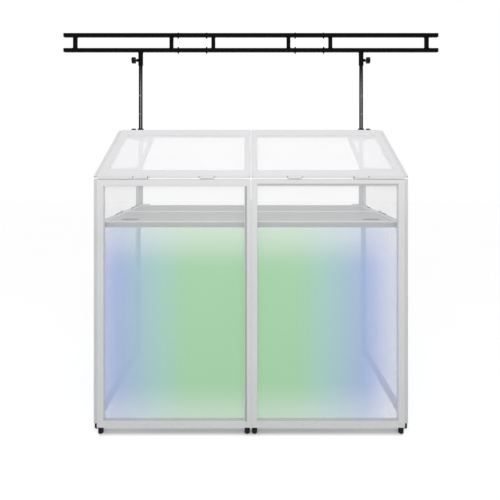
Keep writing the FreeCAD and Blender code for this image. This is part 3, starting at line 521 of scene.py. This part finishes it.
inner_shade_strip = soft_rubber("grey_strip_rubber", INNER_SHADE_GREY, INNER_SHADE_GREY_WORN)
top_shade_strip = soft_rubber("pale_strip_rubber", TOP_SHADE_GREY, TOP_SHADE_GREY_WORN)
sill_shade_bead = soft_rubber("pale_sill_rubber", SILL_SHADE_GREY, SILL_SHADE_GREY_WORN)
for hand, sign in SIDES.items():
    cloth_low, cloth_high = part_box("front_" + hand + "_cloth")
    face_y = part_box("front_" + hand + "_frame")[0].y
    lap = Vector((FRAME_LAP, 0.0, FRAME_LAP))
    low = cloth_low + lap
    high = cloth_high - lap
    bead_y = cloth_low.y - BEAD_BACK
    bead = bmesh.new()
    add_bar(bead, Vector((low.x, bead_y - BEAD_DEPTH, low.z)),
            Vector((high.x, bead_y, low.z + BEAD_HEIGHT)), BEAD_ROUND)
    finished("front_" + hand + "_sill_bead", bead, "booth", sill_shade_bead)
    if sign > 0:
        shade_strip_finish = top_shade_strip
        strip_low = Vector((low.x, face_y - STRIP_DEPTH, high.z + STRIP_INSET))
        strip_high = Vector((high.x, face_y, strip_low.z + STRIP_WIDTH))
    else:
        shade_strip_finish = inner_shade_strip
        strip_low = Vector((high.x + STRIP_INSET, face_y - STRIP_DEPTH, low.z))
        strip_high = Vector((strip_low.x + STRIP_WIDTH, face_y, high.z))
    strip = bmesh.new()
    add_bar(strip, strip_low, strip_high, STRIP_ROUND)
    finished("front_" + hand + "_edge_strip", strip, "booth", shade_strip_finish)


# Joint strip. A white plastic strip pushed into the gap between the two fronts, so that no light comes
# through it. A soft lip goes on from its top.
JOINT_TOP = 0.885
JOINT_FOOT = 0.026
JOINT_BACK = 0.0010
JOINT_DEPTH = 0.010
JOINT_ROUND = 0.0008
JOINT_CLEAR = 0.0001


def fill_joint(name, foot, top, finish):
    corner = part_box("front_right_frame")[0]
    half = corner.x - JOINT_CLEAR
    front = corner.y + JOINT_BACK
    strip = bmesh.new()
    add_bar(strip, Vector((-half, front, foot)), Vector((half, front + JOINT_DEPTH, top)), JOINT_ROUND)
    finished(name, strip, "booth", finish)


fill_joint("front_joint_strip", JOINT_FOOT, JOINT_TOP, white_coat)


# Sealing lips. Soft white strips under the lower edge of each upper panel, in line with its face, that close
# most of the gap above the lower panels and stop short of the hinges. Two upright ones close the gap in the
# middle; they carry painted light, a paler white and a faint painted glow for daylight through the gap.
LIP_HEIGHT = 0.0080
LIP_HEIGHT_AT_HIP = 0.0120
LIP_THICKNESS = 0.0022
LIP_ROUND = 0.0006
LIP_END_GAP = 0.002
LIP_SET_BACK = 0.0028
LIP_CLEAR = 0.0005
JOINT_LIP_TOP = 0.9585
HINGE_HALF = 0.030
ON_FACE = 1e-4
LIP_WHITE = (0.80, 0.80, 0.805, 1.0)
LIP_WHITE_DULL = (0.75, 0.75, 0.755, 1.0)
# Painted light: the upright lips are a paler copy of the lip rubber with a faint glow.
UPRIGHT_PAINTED_PALE = (0.87, 0.87, 0.875, 1.0)
UPRIGHT_PAINTED_PALE_DULL = (0.81, 0.81, 0.815, 1.0)
UPRIGHT_PAINTED_DAYLIGHT = (0.07, 0.07, 0.07, 1.0)

lip_rubber = soft_rubber("white_lip_rubber", LIP_WHITE, LIP_WHITE_DULL)
upright_lip_painted_light = soft_rubber("pale_lip_rubber", UPRIGHT_PAINTED_PALE, UPRIGHT_PAINTED_PALE_DULL)
upright_lip_painted_light.wear({"Emission Color": UPRIGHT_PAINTED_DAYLIGHT, "Emission Strength": 1.0})


def solids_of(name):
    # The lowest and highest corner of each separate solid in a CAD node.
    shape = copy_of(name)
    waiting = set(shape.verts)
    boxes = []
    while waiting:
        group = [waiting.pop()]
        for vert in group:
            for edge in vert.link_edges:
                other = edge.other_vert(vert)
                if other in waiting:
                    waiting.remove(other)
                    group.append(other)
        axes = list(zip(*(vert.co for vert in group)))
        boxes.append((Vector(map(min, axes)), Vector(map(max, axes))))
    shape.free()
    return boxes


def face_of(panel, outward):
    # A panel's own directions, how far out its face lies, and the corners of its face.
    cloth = outer_side(panel + "_cloth", outward)
    lie = Matrix(lie_of(cloth))
    cloth.free()
    ring = copy_of(panel + "_frame")
    front = max(vert.co.dot(lie[1]) for vert in ring.verts)
    face = [vert.co.copy() for vert in ring.verts if vert.co.dot(lie[1]) > front - ON_FACE]
    ring.free()
    return lie, front, face


def seal_edge(panel, outward):
    # The lips of a front panel are deeper at its outer end.
    lie, front, face = face_of(panel, outward)
    across = lie[0]
    up = lie[2]
    foot = min(co.dot(up) for co in face)
    along = [co.dot(across) for co in face if co.dot(up) < foot + ON_FACE]
    stops = [min(along) + LIP_END_GAP]
    centres = [((low + high) / 2).dot(across) for low, high in solids_of(panel + "_leaves")]
    for centre in sorted(centres):
        stops += [centre - HINGE_HALF, centre + HINGE_HALF]
    stops.append(max(along) - LIP_END_GAP)
    lip = bmesh.new()
    for start, end in zip(stops[::2], stops[1::2]):
        at_hip = outward == FRONT and max(abs(start), abs(end)) == max(map(abs, stops))
        low = Vector((start, front - LIP_THICKNESS, foot - (LIP_HEIGHT_AT_HIP if at_hip else LIP_HEIGHT)))
        add_bar(lip, low, Vector((end, front, foot)), LIP_ROUND)
    bmesh.ops.transform(lip, matrix=lie.transposed(), verts=lip.verts)
    finished(panel + "_sealing_lip", lip, panel, lip_rubber)


def seal_middle(panel):
    # An upright lip on the inner edge of the right upper front. It ends just short of the left one.
    lie, front, face = face_of(panel, FRONT)
    heights = [co.dot(lie[2]) for co in face]
    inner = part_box(panel + "_frame")[0].x
    low = Vector((-inner, front - LIP_SET_BACK - LIP_THICKNESS, min(heights)))
    high = Vector((inner - LIP_CLEAR, front - LIP_SET_BACK, max(heights)))
    lip = bmesh.new()
    add_bar(lip, low, high, LIP_ROUND)
    bmesh.ops.transform(lip, matrix=lie.transposed(), verts=lip.verts)
    finished(panel + "_meeting_lip", lip, panel, upright_lip_painted_light)


for hand, sign in SIDES.items():
    seal_edge("upper_front_" + hand, FRONT)
    seal_edge("upper_side_" + hand, Vector((sign, 0.0, 0.0)))
seal_middle("upper_front_right")
fill_joint("front_joint_lip", JOINT_TOP, JOINT_LIP_TOP, upright_lip_painted_light)


# Hinges, coupling plates, pins and bolts. Leaves and plates are pressed steel, painted white with the frames.
# Pins, bolts and screws are zinc plated, with a faint grain and dull patches.
ZINC = (0.60, 0.60, 0.62, 1.0)
ZINC_DULL = (0.44, 0.44, 0.46, 1.0)
LEAF_THICKNESS = 0.002
SCREW_RADII = (0.0031, 0.002325)
SCREW_HEIGHT = 0.0011
SCREW_SEGMENTS = 12
SCREW_SPREAD = 0.022
SOCKET_RIM = 0.001085
SOCKET_DEPTH = 0.00066
CAP_FACING = 0.9

white_coat.cover(in_slot("white_hinge"))
zinc = new_finish("zinc_plate")
zinc_cloud = zinc.noise(45.0, 5.0)
zinc.wear({
    "Base Color": zinc.mix(zinc_cloud, ZINC, ZINC_DULL),
    "Metallic": 1.0,
    "Roughness": zinc_cloud * 0.25 + 0.22,
    "Normal": zinc.bump(zinc.noise(1400.0), 0.00005),
})
zinc.cover(in_slot("bright_steel"))


def facing(outward):
    # Turns an upright shape to look outwards.
    return UP.rotation_difference(outward).to_matrix().to_4x4()


def add_stub(shape, place, radii, height, segments):
    # A round stub about a place, with one radius at its foot and one at its head.
    return bmesh.ops.create_cone(shape, segments=segments, radius1=radii[0], radius2=radii[1], depth=height,
                                 cap_ends=True, matrix=place)["verts"]


def add_screw(shape, foot, outward):
    # A pan head with a round drive socket.
    place = Matrix.Translation(foot + outward * (SCREW_HEIGHT / 2)) @ facing(outward)
    head = add_stub(shape, place, SCREW_RADII, SCREW_HEIGHT, SCREW_SEGMENTS)
    caps = {face for vert in head for face in vert.link_faces if face.normal.dot(outward) > CAP_FACING}
    bmesh.ops.inset_region(shape, faces=list(caps), thickness=SOCKET_RIM)
    socket = [vert for face in caps for vert in face.verts]
    bmesh.ops.translate(shape, verts=socket, vec=-outward * SOCKET_DEPTH)


hinge_screws = bmesh.new()
for low, high in solids_of("front_corner_leaves"):
    middle = (low + high) / 2
    for lift in (-SCREW_SPREAD, 0.0, SCREW_SPREAD):
        add_screw(hinge_screws, Vector((middle.x, low.y + LEAF_THICKNESS, middle.z + lift)), -FRONT)
finished("corner_hinge_screws", hinge_screws, "booth", zinc)


# Feet. Turned black rubber buttons pushed into the open ends of the stiles. The rubber is dusty and duller
# near the floor.
RUBBER_BLACK = (0.005, 0.005, 0.0055, 1.0)
RUBBER_DUST = (0.030, 0.029, 0.028, 1.0)
DUST_Z = (0.02, 0.0)

rubber = new_finish("black_foot_rubber")
rubber_dust = rubber.noise(120.0, 4.0) * rubber.along("Z").rise(*DUST_Z)
rubber.wear({
    "Base Color": rubber.mix(rubber_dust, RUBBER_BLACK, RUBBER_DUST),
    "Roughness": 0.45 + rubber_dust * 0.4,
    "Specular IOR Level": 0.15,
    "Normal": rubber.bump(rubber.noise(1800.0), 0.00008),
})
rubber.cover(in_slot("black_rubber"))


# Table. Two folded trays of thin sheet steel in a light grey textured paint, bolted together at the seam. The
# paint is worn on top where gear is slid about. A painted highlight runs along the folds of the top, and the
# flanges below it are painted darker as painted shade.
TABLE_GREY = (0.605, 0.62, 0.615, 1.0)
TABLE_GREY_WORN = (0.655, 0.665, 0.66, 1.0)
TABLE_FLANGE_SHADE = (0.465, 0.48, 0.475, 1.0)
TABLE_FOLD_HIGHLIGHT = (0.98, 0.98, 0.98, 1.0)
FOLD_ALONG = (0.022, 0.016)
FOLD_AT_ENDS = (0.021, 0.015)
FOLD_DROP = (0.0015, 0.0005)
FLANGE_DROP = (0.001, 0.003)

for tray in in_slot("table_paint"):
    low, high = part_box(tray)
    paint = new_finish(tray + "_paint")
    grain = paint.noise(1100.0)
    wear_marks = paint.noise(9.0, 6.0)
    middle = (low + high) / 2
    half = (high - low) / 2
    edge_x = abs(paint.along("X") - middle.x).rise(*(half.x - inset for inset in FOLD_AT_ENDS))
    edge_y = abs(paint.along("Y") - middle.y).rise(*(half.y - inset for inset in FOLD_ALONG))
    on_top = paint.along("Z").rise(*(high.z - drop for drop in FOLD_DROP))
    # Painted highlight along the folds of the top.
    fold_highlight = (1.0 - (1.0 - edge_x) * (1.0 - edge_y)) * on_top
    # Painted shade: the flanges below the top are darker.
    flange_shade = paint.along("Z").rise(*(high.z - drop for drop in FLANGE_DROP))
    painted = paint.mix(flange_shade, paint.mix(wear_marks, TABLE_GREY, TABLE_GREY_WORN), TABLE_FLANGE_SHADE)
    paint.wear({
        "Base Color": paint.mix(fold_highlight, painted, TABLE_FOLD_HIGHLIGHT),
        "Roughness": wear_marks * 0.2 + 0.45,
        "Specular IOR Level": 0.35,
        "Normal": paint.bump(grain, 0.0002),
    })
    paint.cover([tray])


# Rubber of the table. A grey oval ring pushed into each cable slot, a narrow rib glued along the top of each
# hook, which grips the edge of the slit in the side cloth, and grey seals along the table's ends.
RUBBER_DARK = (0.29, 0.29, 0.292, 1.0)
RUBBER_DUSTY = (0.36, 0.36, 0.362, 1.0)
SEAL_GREY = (0.33, 0.33, 0.335, 1.0)
SEAL_GREY_WORN = (0.40, 0.40, 0.405, 1.0)
SEAL_WIDTH = 0.0036
SEAL_LAP = 0.0012
SEAL_DEPTH = 0.0022
SEAL_PROUD = 0.0008
SEAL_END_GAP = 0.006
SEAL_ROUND = 0.0008
SLOT_PLACE = Vector((0.478, -0.253))
GROMMET_HALF = Vector((0.0328, 0.0102))
GROMMET_CORNER = 0.0101
GROMMET_SEGMENTS = 8
GROMMET_RIM = 0.0040
GROMMET_HEIGHT = 0.0032
HOOK_ARM_TOP = 0.7922
RIB_HALF = 0.003
RIB_HEIGHT = 0.0022
RIB_END_GAP = 0.001
RIB_ROUND = 0.0006

dark_rubber = soft_rubber("dark_grommet_rubber", RUBBER_DARK, RUBBER_DUSTY)
table_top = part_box("table_front_tray")[1].z
for hand, sign in SIDES.items():
    grommet = bmesh.new()
    middle = Vector((sign * SLOT_PLACE.x, SLOT_PLACE.y, table_top + GROMMET_HEIGHT))
    place = Matrix.Translation(middle) @ Matrix.Diagonal((*GROMMET_HALF, 1.0, 1.0))
    bmesh.ops.create_grid(grommet, x_segments=1, y_segments=1, size=1.0, matrix=place)
    soften(grommet, grommet.verts[:], GROMMET_CORNER, "VERTICES", GROMMET_SEGMENTS)
    opening = grommet.faces[:]
    border(grommet, GROMMET_RIM)
    bmesh.ops.delete(grommet, geom=opening, context="FACES")
    thicken(grommet, GROMMET_HEIGHT)
    finished(hand + "_cable_grommet", grommet, "booth", dark_rubber)

ribs = bmesh.new()
for low, high in solids_of("table_hooks"):
    along = (low.y + high.y) / 2
    rib_low = Vector((low.x + RIB_END_GAP, along - RIB_HALF, HOOK_ARM_TOP))
    rib_high = Vector((high.x - RIB_END_GAP, along + RIB_HALF, HOOK_ARM_TOP + RIB_HEIGHT))
    add_bar(ribs, rib_low, rib_high, RIB_ROUND)
finished("table_hook_ribs", ribs, "booth", dark_rubber)

seal_rubber = soft_rubber("grey_seal_rubber", SEAL_GREY, SEAL_GREY_WORN)
seals = bmesh.new()
for tray in ("table_front_tray", "table_rear_tray"):
    low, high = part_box(tray)
    right = high.x - SEAL_LAP
    left = low.x + SEAL_LAP
    for start, end in ((right, right + SEAL_WIDTH), (left - SEAL_WIDTH, left)):
        add_bar(seals, Vector((start, low.y + SEAL_END_GAP, high.z + SEAL_PROUD - SEAL_DEPTH)),
                Vector((end, high.y - SEAL_END_GAP, high.z + SEAL_PROUD)), SEAL_ROUND)
finished("table_end_seals", seals, "booth", seal_rubber)


# Truss, poles, hooks and small black steel. Welded square tube in matt black powder coat. The poles are drawn
# tube in a smoother black, with a painted highlight: a grey line down the front of each, stronger lower down.
STEEL_BLACK = (0.0022, 0.0022, 0.0024, 1.0)
STEEL_BLACK_RUBBED = (0.010, 0.010, 0.0105, 1.0)
HIGHLIGHT_GREY = (0.29, 0.29, 0.295, 1.0)
BARE_STEEL = (0.55, 0.55, 0.56, 1.0)
POLE_AXIS = Vector((0.590, 0.326))
HIGHLIGHT_X = 0.5872
HIGHLIGHT_HALF = (0.0036, 0.0016)
HIGHLIGHT_DEPTH = 0.008
HIGHLIGHT_Z = (1.56, 1.37)
HIGHLIGHT_LEAST = 0.7
HIGHLIGHT_VARIES = 0.6
POLE_STREAKS = (300.0, 300.0, 4.0)
PIN_HOLE_Z = 1.374
PIN_HOLE_PITCH = 0.098
PIN_HOLES_TOP = (1.424, 1.414)
BARE_RING = (0.0048, 0.0040)
WELD_RADIUS = 0.0024
BOLT_END_RADII = (0.0029, 0.0029)
BOLT_END_LENGTH = 0.0050
BOLT_CAP_RADII = (0.0045, 0.0030)
BOLT_CAP_HEIGHT = 0.0040
BOLT_SEGMENTS = 10
WELD_AROUND = ((-1, -1), (1, -1), (1, 1), (-1, 1))
CHORD = 0.020
RUNG_HALF = Vector((0.010, 0.008))
BAY_CLEAR = 0.013

black_coat = new_finish("black_powder_coat")
black_rub = black_coat.noise(25.0, 6.0).rise(0.5, 0.75)
black_coat.wear({
    "Base Color": black_coat.mix(black_rub * 0.4, STEEL_BLACK, STEEL_BLACK_RUBBED),
    "Roughness": black_rub * 0.1 + 0.5,
    "Specular IOR Level": 0.05,
    "Normal": black_coat.bump(black_coat.noise(PEEL_SCALE), PEEL_DEPTH),
})
black_coat.cover(in_slot("black_steel"))


def streaks(finish, scales):
    # Noise drawn out along the axis that has the smallest scale.
    drawn = finish.node("Mapping", {}, {"Vector": finish.place(), "Scale": scales})
    return finish.node("TexNoise", {}, {"Vector": drawn, "Scale": 1.0})


pole_coat = new_finish("black_pole_coat")
pole_height = pole_coat.along("Z")
pole_rub_and_sheen = streaks(pole_coat, POLE_STREAKS)
from_axis = abs(abs(pole_coat.along("X")) - POLE_AXIS.x)
from_highlight = abs(abs(pole_coat.along("X")) - HIGHLIGHT_X)
in_front = pole_coat.along("Y").rise(POLE_AXIS.y, POLE_AXIS.y - HIGHLIGHT_DEPTH)
# Painted highlight: a grey line down the face of each pole, fading out towards the top.
painted_highlight = from_highlight.rise(*HIGHLIGHT_HALF) * in_front * pole_height.rise(*HIGHLIGHT_Z)
painted_highlight = painted_highlight * (HIGHLIGHT_LEAST + pole_rub_and_sheen * HIGHLIGHT_VARIES)
holes_up = (pole_height - PIN_HOLE_Z) / PIN_HOLE_PITCH + 0.5
from_hole = abs(holes_up.fraction() - 0.5) * PIN_HOLE_PITCH
bare_ring = (from_axis * from_axis + from_hole * from_hole).root().rise(*BARE_RING)
bare_ring = bare_ring * pole_height.rise(*PIN_HOLES_TOP)
pole_black = pole_coat.mix(pole_rub_and_sheen * 0.6, STEEL_BLACK, STEEL_BLACK_RUBBED)
pole_coat.wear({
    "Base Color": pole_coat.mix(bare_ring, pole_coat.mix(painted_highlight, pole_black, HIGHLIGHT_GREY), BARE_STEEL),
    "Roughness": pole_rub_and_sheen * 0.12 + 0.34,
    "Specular IOR Level": 0.03,
})
pole_coat.cover(["inner_poles"])

openings = {row["name"]: row["box_m"] for row in frame["record"]["physics"]["openings"]}
truss_low, truss_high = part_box("truss_middle")
inner_rung = openings["truss_right_splice_bay"][0][0] - BAY_CLEAR
outer_rung = openings["truss_right_splice_bay"][1][0] + BAY_CLEAR
end_rung = openings["truss_right_bay"][1][0] + BAY_CLEAR

weld_line = bpy.data.curves.new("truss_welds", "CURVE")
weld_line.dimensions = "3D"
weld_line.bevel_depth = WELD_RADIUS
weld_line.bevel_resolution = 1
weld_y = (truss_low.y + truss_high.y) / 2
for rung in (inner_rung, outer_rung, end_rung):
    for sign in SIDES.values():
        for height in (truss_low.z + CHORD, truss_high.z - CHORD):
            bead = weld_line.splines.new("POLY")
            bead.points.add(len(WELD_AROUND) - 1)
            bead.use_cyclic_u = True
            for point, (way_x, way_y) in zip(bead.points, WELD_AROUND):
                point.co = (sign * rung + way_x * RUNG_HALF.x, weld_y + way_y * RUNG_HALF.y, height, 1.0)
weld_source = bpy.data.objects.new("truss_weld_line", weld_line)
weld_mesh = bpy.data.meshes.new_from_object(weld_source)
bpy.data.objects.remove(weld_source)
welds = bmesh.new()
welds.from_mesh(weld_mesh)
bmesh.ops.remove_doubles(welds, verts=welds.verts, dist=MERGE)
bmesh.ops.recalc_face_normals(welds, faces=welds.faces)
for face in welds.faces:
    face.smooth = True
finished("truss_welds", welds, "truss", black_coat)

bolt_ends = bmesh.new()
for low, high in solids_of("splice_bolts"):
    middle = (low + high) / 2
    place = Matrix.Translation((middle.x, middle.y, low.z - BOLT_END_LENGTH / 2))
    add_stub(bolt_ends, place, BOLT_END_RADII, BOLT_END_LENGTH, BOLT_SEGMENTS)
    if middle.z < (truss_low.z + truss_high.z) / 2:
        place = Matrix.Translation((middle.x, middle.y, high.z + BOLT_CAP_HEIGHT / 2))
        add_stub(bolt_ends, place, BOLT_CAP_RADII, BOLT_CAP_HEIGHT, BOLT_SEGMENTS)
finished("splice_bolt_ends", bolt_ends, "truss", black_coat)


# Clamp knobs and other black plastic. Moulded black nylon with a fine spark texture. Each knob has a smooth
# snap-in cap over its screw.
NYLON_BLACK = (0.004, 0.004, 0.0042, 1.0)
NYLON_GREY = (0.008, 0.008, 0.0082, 1.0)
KNOB_CAP_RADII = (0.0085, 0.0085)
KNOB_CAP_HEIGHT = 0.0014
KNOB_CAP_SEGMENTS = 24
KNOB_CAP_ROUND = 0.0005
RIM_ANGLE = 1.0

nylon = new_finish("black_nylon")
nylon.wear({
    "Base Color": nylon.mix(nylon.noise(40.0, 3.0), NYLON_BLACK, NYLON_GREY),
    "Roughness": nylon.noise(300.0) * 0.15 + 0.42,
    "Specular IOR Level": 0.12,
    "Normal": nylon.bump(nylon.noise(2200.0), 0.0001),
})
nylon.cover(in_slot("black_plastic"))
for hand, sign in SIDES.items():
    outward = Vector((sign, 0.0, 0.0))
    for level in ("upper_", "lower_"):
        knob = level + hand + "_knob"
        low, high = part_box(knob)
        middle = (low + high) / 2
        foot = Vector((high.x if sign > 0 else low.x, middle.y, middle.z))
        place = Matrix.Translation(foot + outward * (KNOB_CAP_HEIGHT / 2)) @ facing(outward)
        cap = bmesh.new()
        add_stub(cap, place, KNOB_CAP_RADII, KNOB_CAP_HEIGHT, KNOB_CAP_SEGMENTS)
        soften(cap, [edge for edge in cap.edges if edge.calc_face_angle(0.0) > RIM_ANGLE], KNOB_CAP_ROUND)
        finished(knob + "_cap", cap, knob, nylon)


# Light bar. A black anodised aluminium channel with cooling ribs, a board with three rows of lensed diodes
# behind a clear cover, and moulded end caps. Diodes shine green in the middle, then cyan, then blue. The
# board glows in the same colours as painted light.
ANODISED = (0.012, 0.012, 0.013, 1.0)
ANODISED_PALE = (0.022, 0.022, 0.023, 1.0)
DIODE_RADIUS = 0.0032
DIODE_PITCH = 0.020
DIODE_ROW_PITCH = 0.014
DIODE_COLUMNS = 48
DIODE_ROWS = 3
CYAN_FROM = 0.24
BLUE_FROM = 0.36
BAR_HALF = 0.5
DIODE_COLOURS = ((0.10, 0.95, 0.16, 1.0), (0.10, 0.80, 0.85, 1.0), (0.08, 0.22, 1.0, 1.0))
BOARD_GLOW_COLOURS = ((0.02, 0.30, 0.06, 1.0), (0.02, 0.22, 0.26, 1.0), (0.02, 0.05, 0.34, 1.0))
BOARD_GLOW_STRENGTH = 0.8
BOARD_ROUGHNESS = 0.5
DIODE_STRENGTH = 2.0
DIODE_ROUGHNESS = 0.15
SPECKLE_SHARE = 0.3
LENS_CLEAR = (0.75, 0.78, 0.80, 1.0)
LENS_HAZE = (0.85, 0.87, 0.88, 1.0)
CHANNEL_STREAKS = (6.0, 900.0, 900.0)
FIN_HALF = Vector((0.49, 0.0015, 0.0009))
FIN_COUNT = 7
FIN_PITCH = 0.0075
FIN_ROUND = 0.0004

anodised = new_finish("black_anodised_aluminium")
drawn_lines = streaks(anodised, CHANNEL_STREAKS)
anodised.wear({
    "Base Color": anodised.mix(drawn_lines, ANODISED, ANODISED_PALE),
    "Roughness": drawn_lines * 0.15 + 0.35,
    "Normal": anodised.bump(drawn_lines, 0.00003),
})
anodised.cover(in_slot("black_aluminium"))


def segment_light(name, colours, strength, roughness):
    light = new_finish(name)
    across = abs(light.along("X")) / BAR_HALF
    ends = (0.0, CYAN_FROM / BAR_HALF, BLUE_FROM / BAR_HALF)
    ramp = {"stops": list(zip(ends, colours))}
    colour = light.node("ValToRGB", ramp, {0: across})
    colour.socket.node.color_ramp.interpolation = "CONSTANT"
    speckled = light.mix(light.noise(500.0) * SPECKLE_SHARE, colour, BLACK)
    light.wear({
        "Base Color": speckled,
        "Roughness": roughness,
        "Emission Color": speckled,
        "Emission Strength": strength,
    })
    return light


# Painted light: the board glows in the colours of its diodes, for the light they throw on it.
board_painted_glow = segment_light("lit_board", BOARD_GLOW_COLOURS, BOARD_GLOW_STRENGTH, BOARD_ROUGHNESS)
board_painted_glow.cover(in_slot("board"))
diode_light = segment_light("lit_diodes", DIODE_COLOURS, DIODE_STRENGTH, DIODE_ROUGHNESS)
board_low, board_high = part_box("led_board")
board_middle = (board_low + board_high) / 2
diodes = bmesh.new()
for row in range(DIODE_ROWS):
    for column in range(DIODE_COLUMNS):
        foot = Vector((
            board_middle.x + (column - (DIODE_COLUMNS - 1) / 2) * DIODE_PITCH,
            board_low.y,
            board_middle.z + (row - (DIODE_ROWS - 1) / 2) * DIODE_ROW_PITCH,
        ))
        bmesh.ops.create_uvsphere(diodes, u_segments=8, v_segments=6, radius=DIODE_RADIUS,
                                  matrix=Matrix.Translation(foot))
for face in diodes.faces:
    face.smooth = True
finished("led_diodes", diodes, "led_bar", diode_light)

lens = new_finish("clear_lens_cover")
lens.wear({
    "Base Color": lens.mix(lens.noise(20.0, 4.0), LENS_CLEAR, LENS_HAZE),
    "Roughness": lens.noise(200.0, 4.0) * 0.1 + 0.05,
    "Alpha": 0.18,
})
lens.cover(in_slot("clear_lens"))

house_low, house_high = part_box("led_housing")
fins = bmesh.new()
for index in range(FIN_COUNT):
    height = (house_low.z + house_high.z) / 2 + (index - (FIN_COUNT - 1) / 2) * FIN_PITCH
    middle = Vector((0.0, house_high.y, height))
    add_bar(fins, middle - FIN_HALF, middle + FIN_HALF, FIN_ROUND)
finished("led_cooling_ribs", fins, "led_bar", anodised)


# Floor and studio light. A plain white floor that is shaded under the front rail, a white surround, and a
# large soft lamp in front of the booth.
FLOOR_HALF = 8.0
FLOOR_WHITE = (0.70, 0.70, 0.70, 1.0)
FLOOR_WHITE_WORN = (0.72, 0.72, 0.72, 1.0)
FLOOR_LIFT = (0.58, 0.58, 0.58, 1.0)
SHADE_Y = -0.318
SHADE_REACH = (0.036, 0.004)
SHADE_ENDS = (0.578, 0.566)
SHADE_SHARE = 0.97
SHADE_FALL = 0.09
SHADE_FALL_FROM = (0.25, 0.55)
SURROUND_WHITE = (1.0, 1.0, 1.0, 1.0)
SURROUND_LOW = 1.0
SURROUND_HIGH = 0.46
SURROUND_RISE = (-0.1, 0.8)
KEY_PLACE = Vector((0.0, -1.9, 1.7))
KEY_AIM = Vector((0.0, 0.0, 0.7))
KEY_SIZE = (2.6, 0.9)
KEY_POWER = 14.0


def seen_directly(finish):
    camera = finish.node("LightPath", {}, {}, "Is Camera Ray")
    glossy = finish.node("LightPath", {}, {}, "Is Glossy Ray")
    through = finish.node("LightPath", {}, {}, "Is Transmission Ray")
    return 1.0 - (1.0 - camera) * (1.0 - glossy) * (1.0 - through)


ground = bmesh.new()
bmesh.ops.create_grid(ground, x_segments=1, y_segments=1, size=FLOOR_HALF)
floor_mesh = bpy.data.meshes.new("floor")
ground.to_mesh(floor_mesh)
ground.free()
floor = bpy.data.objects.new("floor", floor_mesh)
bpy.context.scene.collection.objects.link(floor)
floor_white = new_finish("white_floor")
under_rail = abs(floor_white.along("Y") - SHADE_Y).rise(*SHADE_REACH)
along_rail = abs(floor_white.along("X"))
under_rail = under_rail * along_rail.rise(*SHADE_ENDS)
under_rail = under_rail * (SHADE_SHARE - SHADE_FALL * along_rail.rise(*SHADE_FALL_FROM))
floor_white.wear({
    "Base Color": floor_white.mix(floor_white.noise(1.5), FLOOR_WHITE, FLOOR_WHITE_WORN),
    "Roughness": 0.9,
    "Specular IOR Level": 0.1,
    "Emission Color": floor_white.mix(seen_directly(floor_white) * (1.0 - under_rail), BLACK, FLOOR_LIFT),
    "Emission Strength": 1.0,
})
floor_mesh.materials.append(floor_white.owner)

studio = bpy.data.worlds.new("studio")
bpy.context.scene.world = studio
surround = Finish(studio, "Background")
skyward = surround.node("SeparateXYZ", {}, {0: surround.node("TexCoord", {}, {}, "Generated")}, "Z")
soft = SURROUND_LOW + (SURROUND_HIGH - SURROUND_LOW) * skyward.rise(*SURROUND_RISE)
surround.wear({
    "Color": SURROUND_WHITE,
    "Strength": soft + (1.0 - soft) * seen_directly(surround),
})

key_light = bpy.data.lights.new("key", "AREA")
key_light.shape = "RECTANGLE"
key_light.size, key_light.size_y = KEY_SIZE
key_light.energy = KEY_POWER
key = bpy.data.objects.new("key", key_light)
key.location = KEY_PLACE
key.rotation_euler = (KEY_AIM - KEY_PLACE).to_track_quat("-Z", "Y").to_euler()
bpy.context.scene.collection.objects.link(key)


# Camera. It stands level in front of the middle of the booth, a little above the upper edge of the fronts.
# Its picture is shifted down, so that uprights stay upright.
CAMERA_PLACE = (0.0, -1.90567, 1.03956)
CAMERA_LENS = 30.01
CAMERA_SENSOR = 36.0
CAMERA_SHIFT = (-0.0018, -0.1834)

camera_data = bpy.data.cameras.new("photo_camera")
camera_data.sensor_width = CAMERA_SENSOR
camera_data.lens = CAMERA_LENS
camera_data.shift_x, camera_data.shift_y = CAMERA_SHIFT
camera = bpy.data.objects.new("photo_camera", camera_data)
camera.location = CAMERA_PLACE
camera.rotation_euler = (math.pi / 2, 0.0, 0.0)
bpy.context.scene.collection.objects.link(camera)
bpy.context.scene.camera = camera
bpy.context.scene.view_settings.view_transform = "Standard"
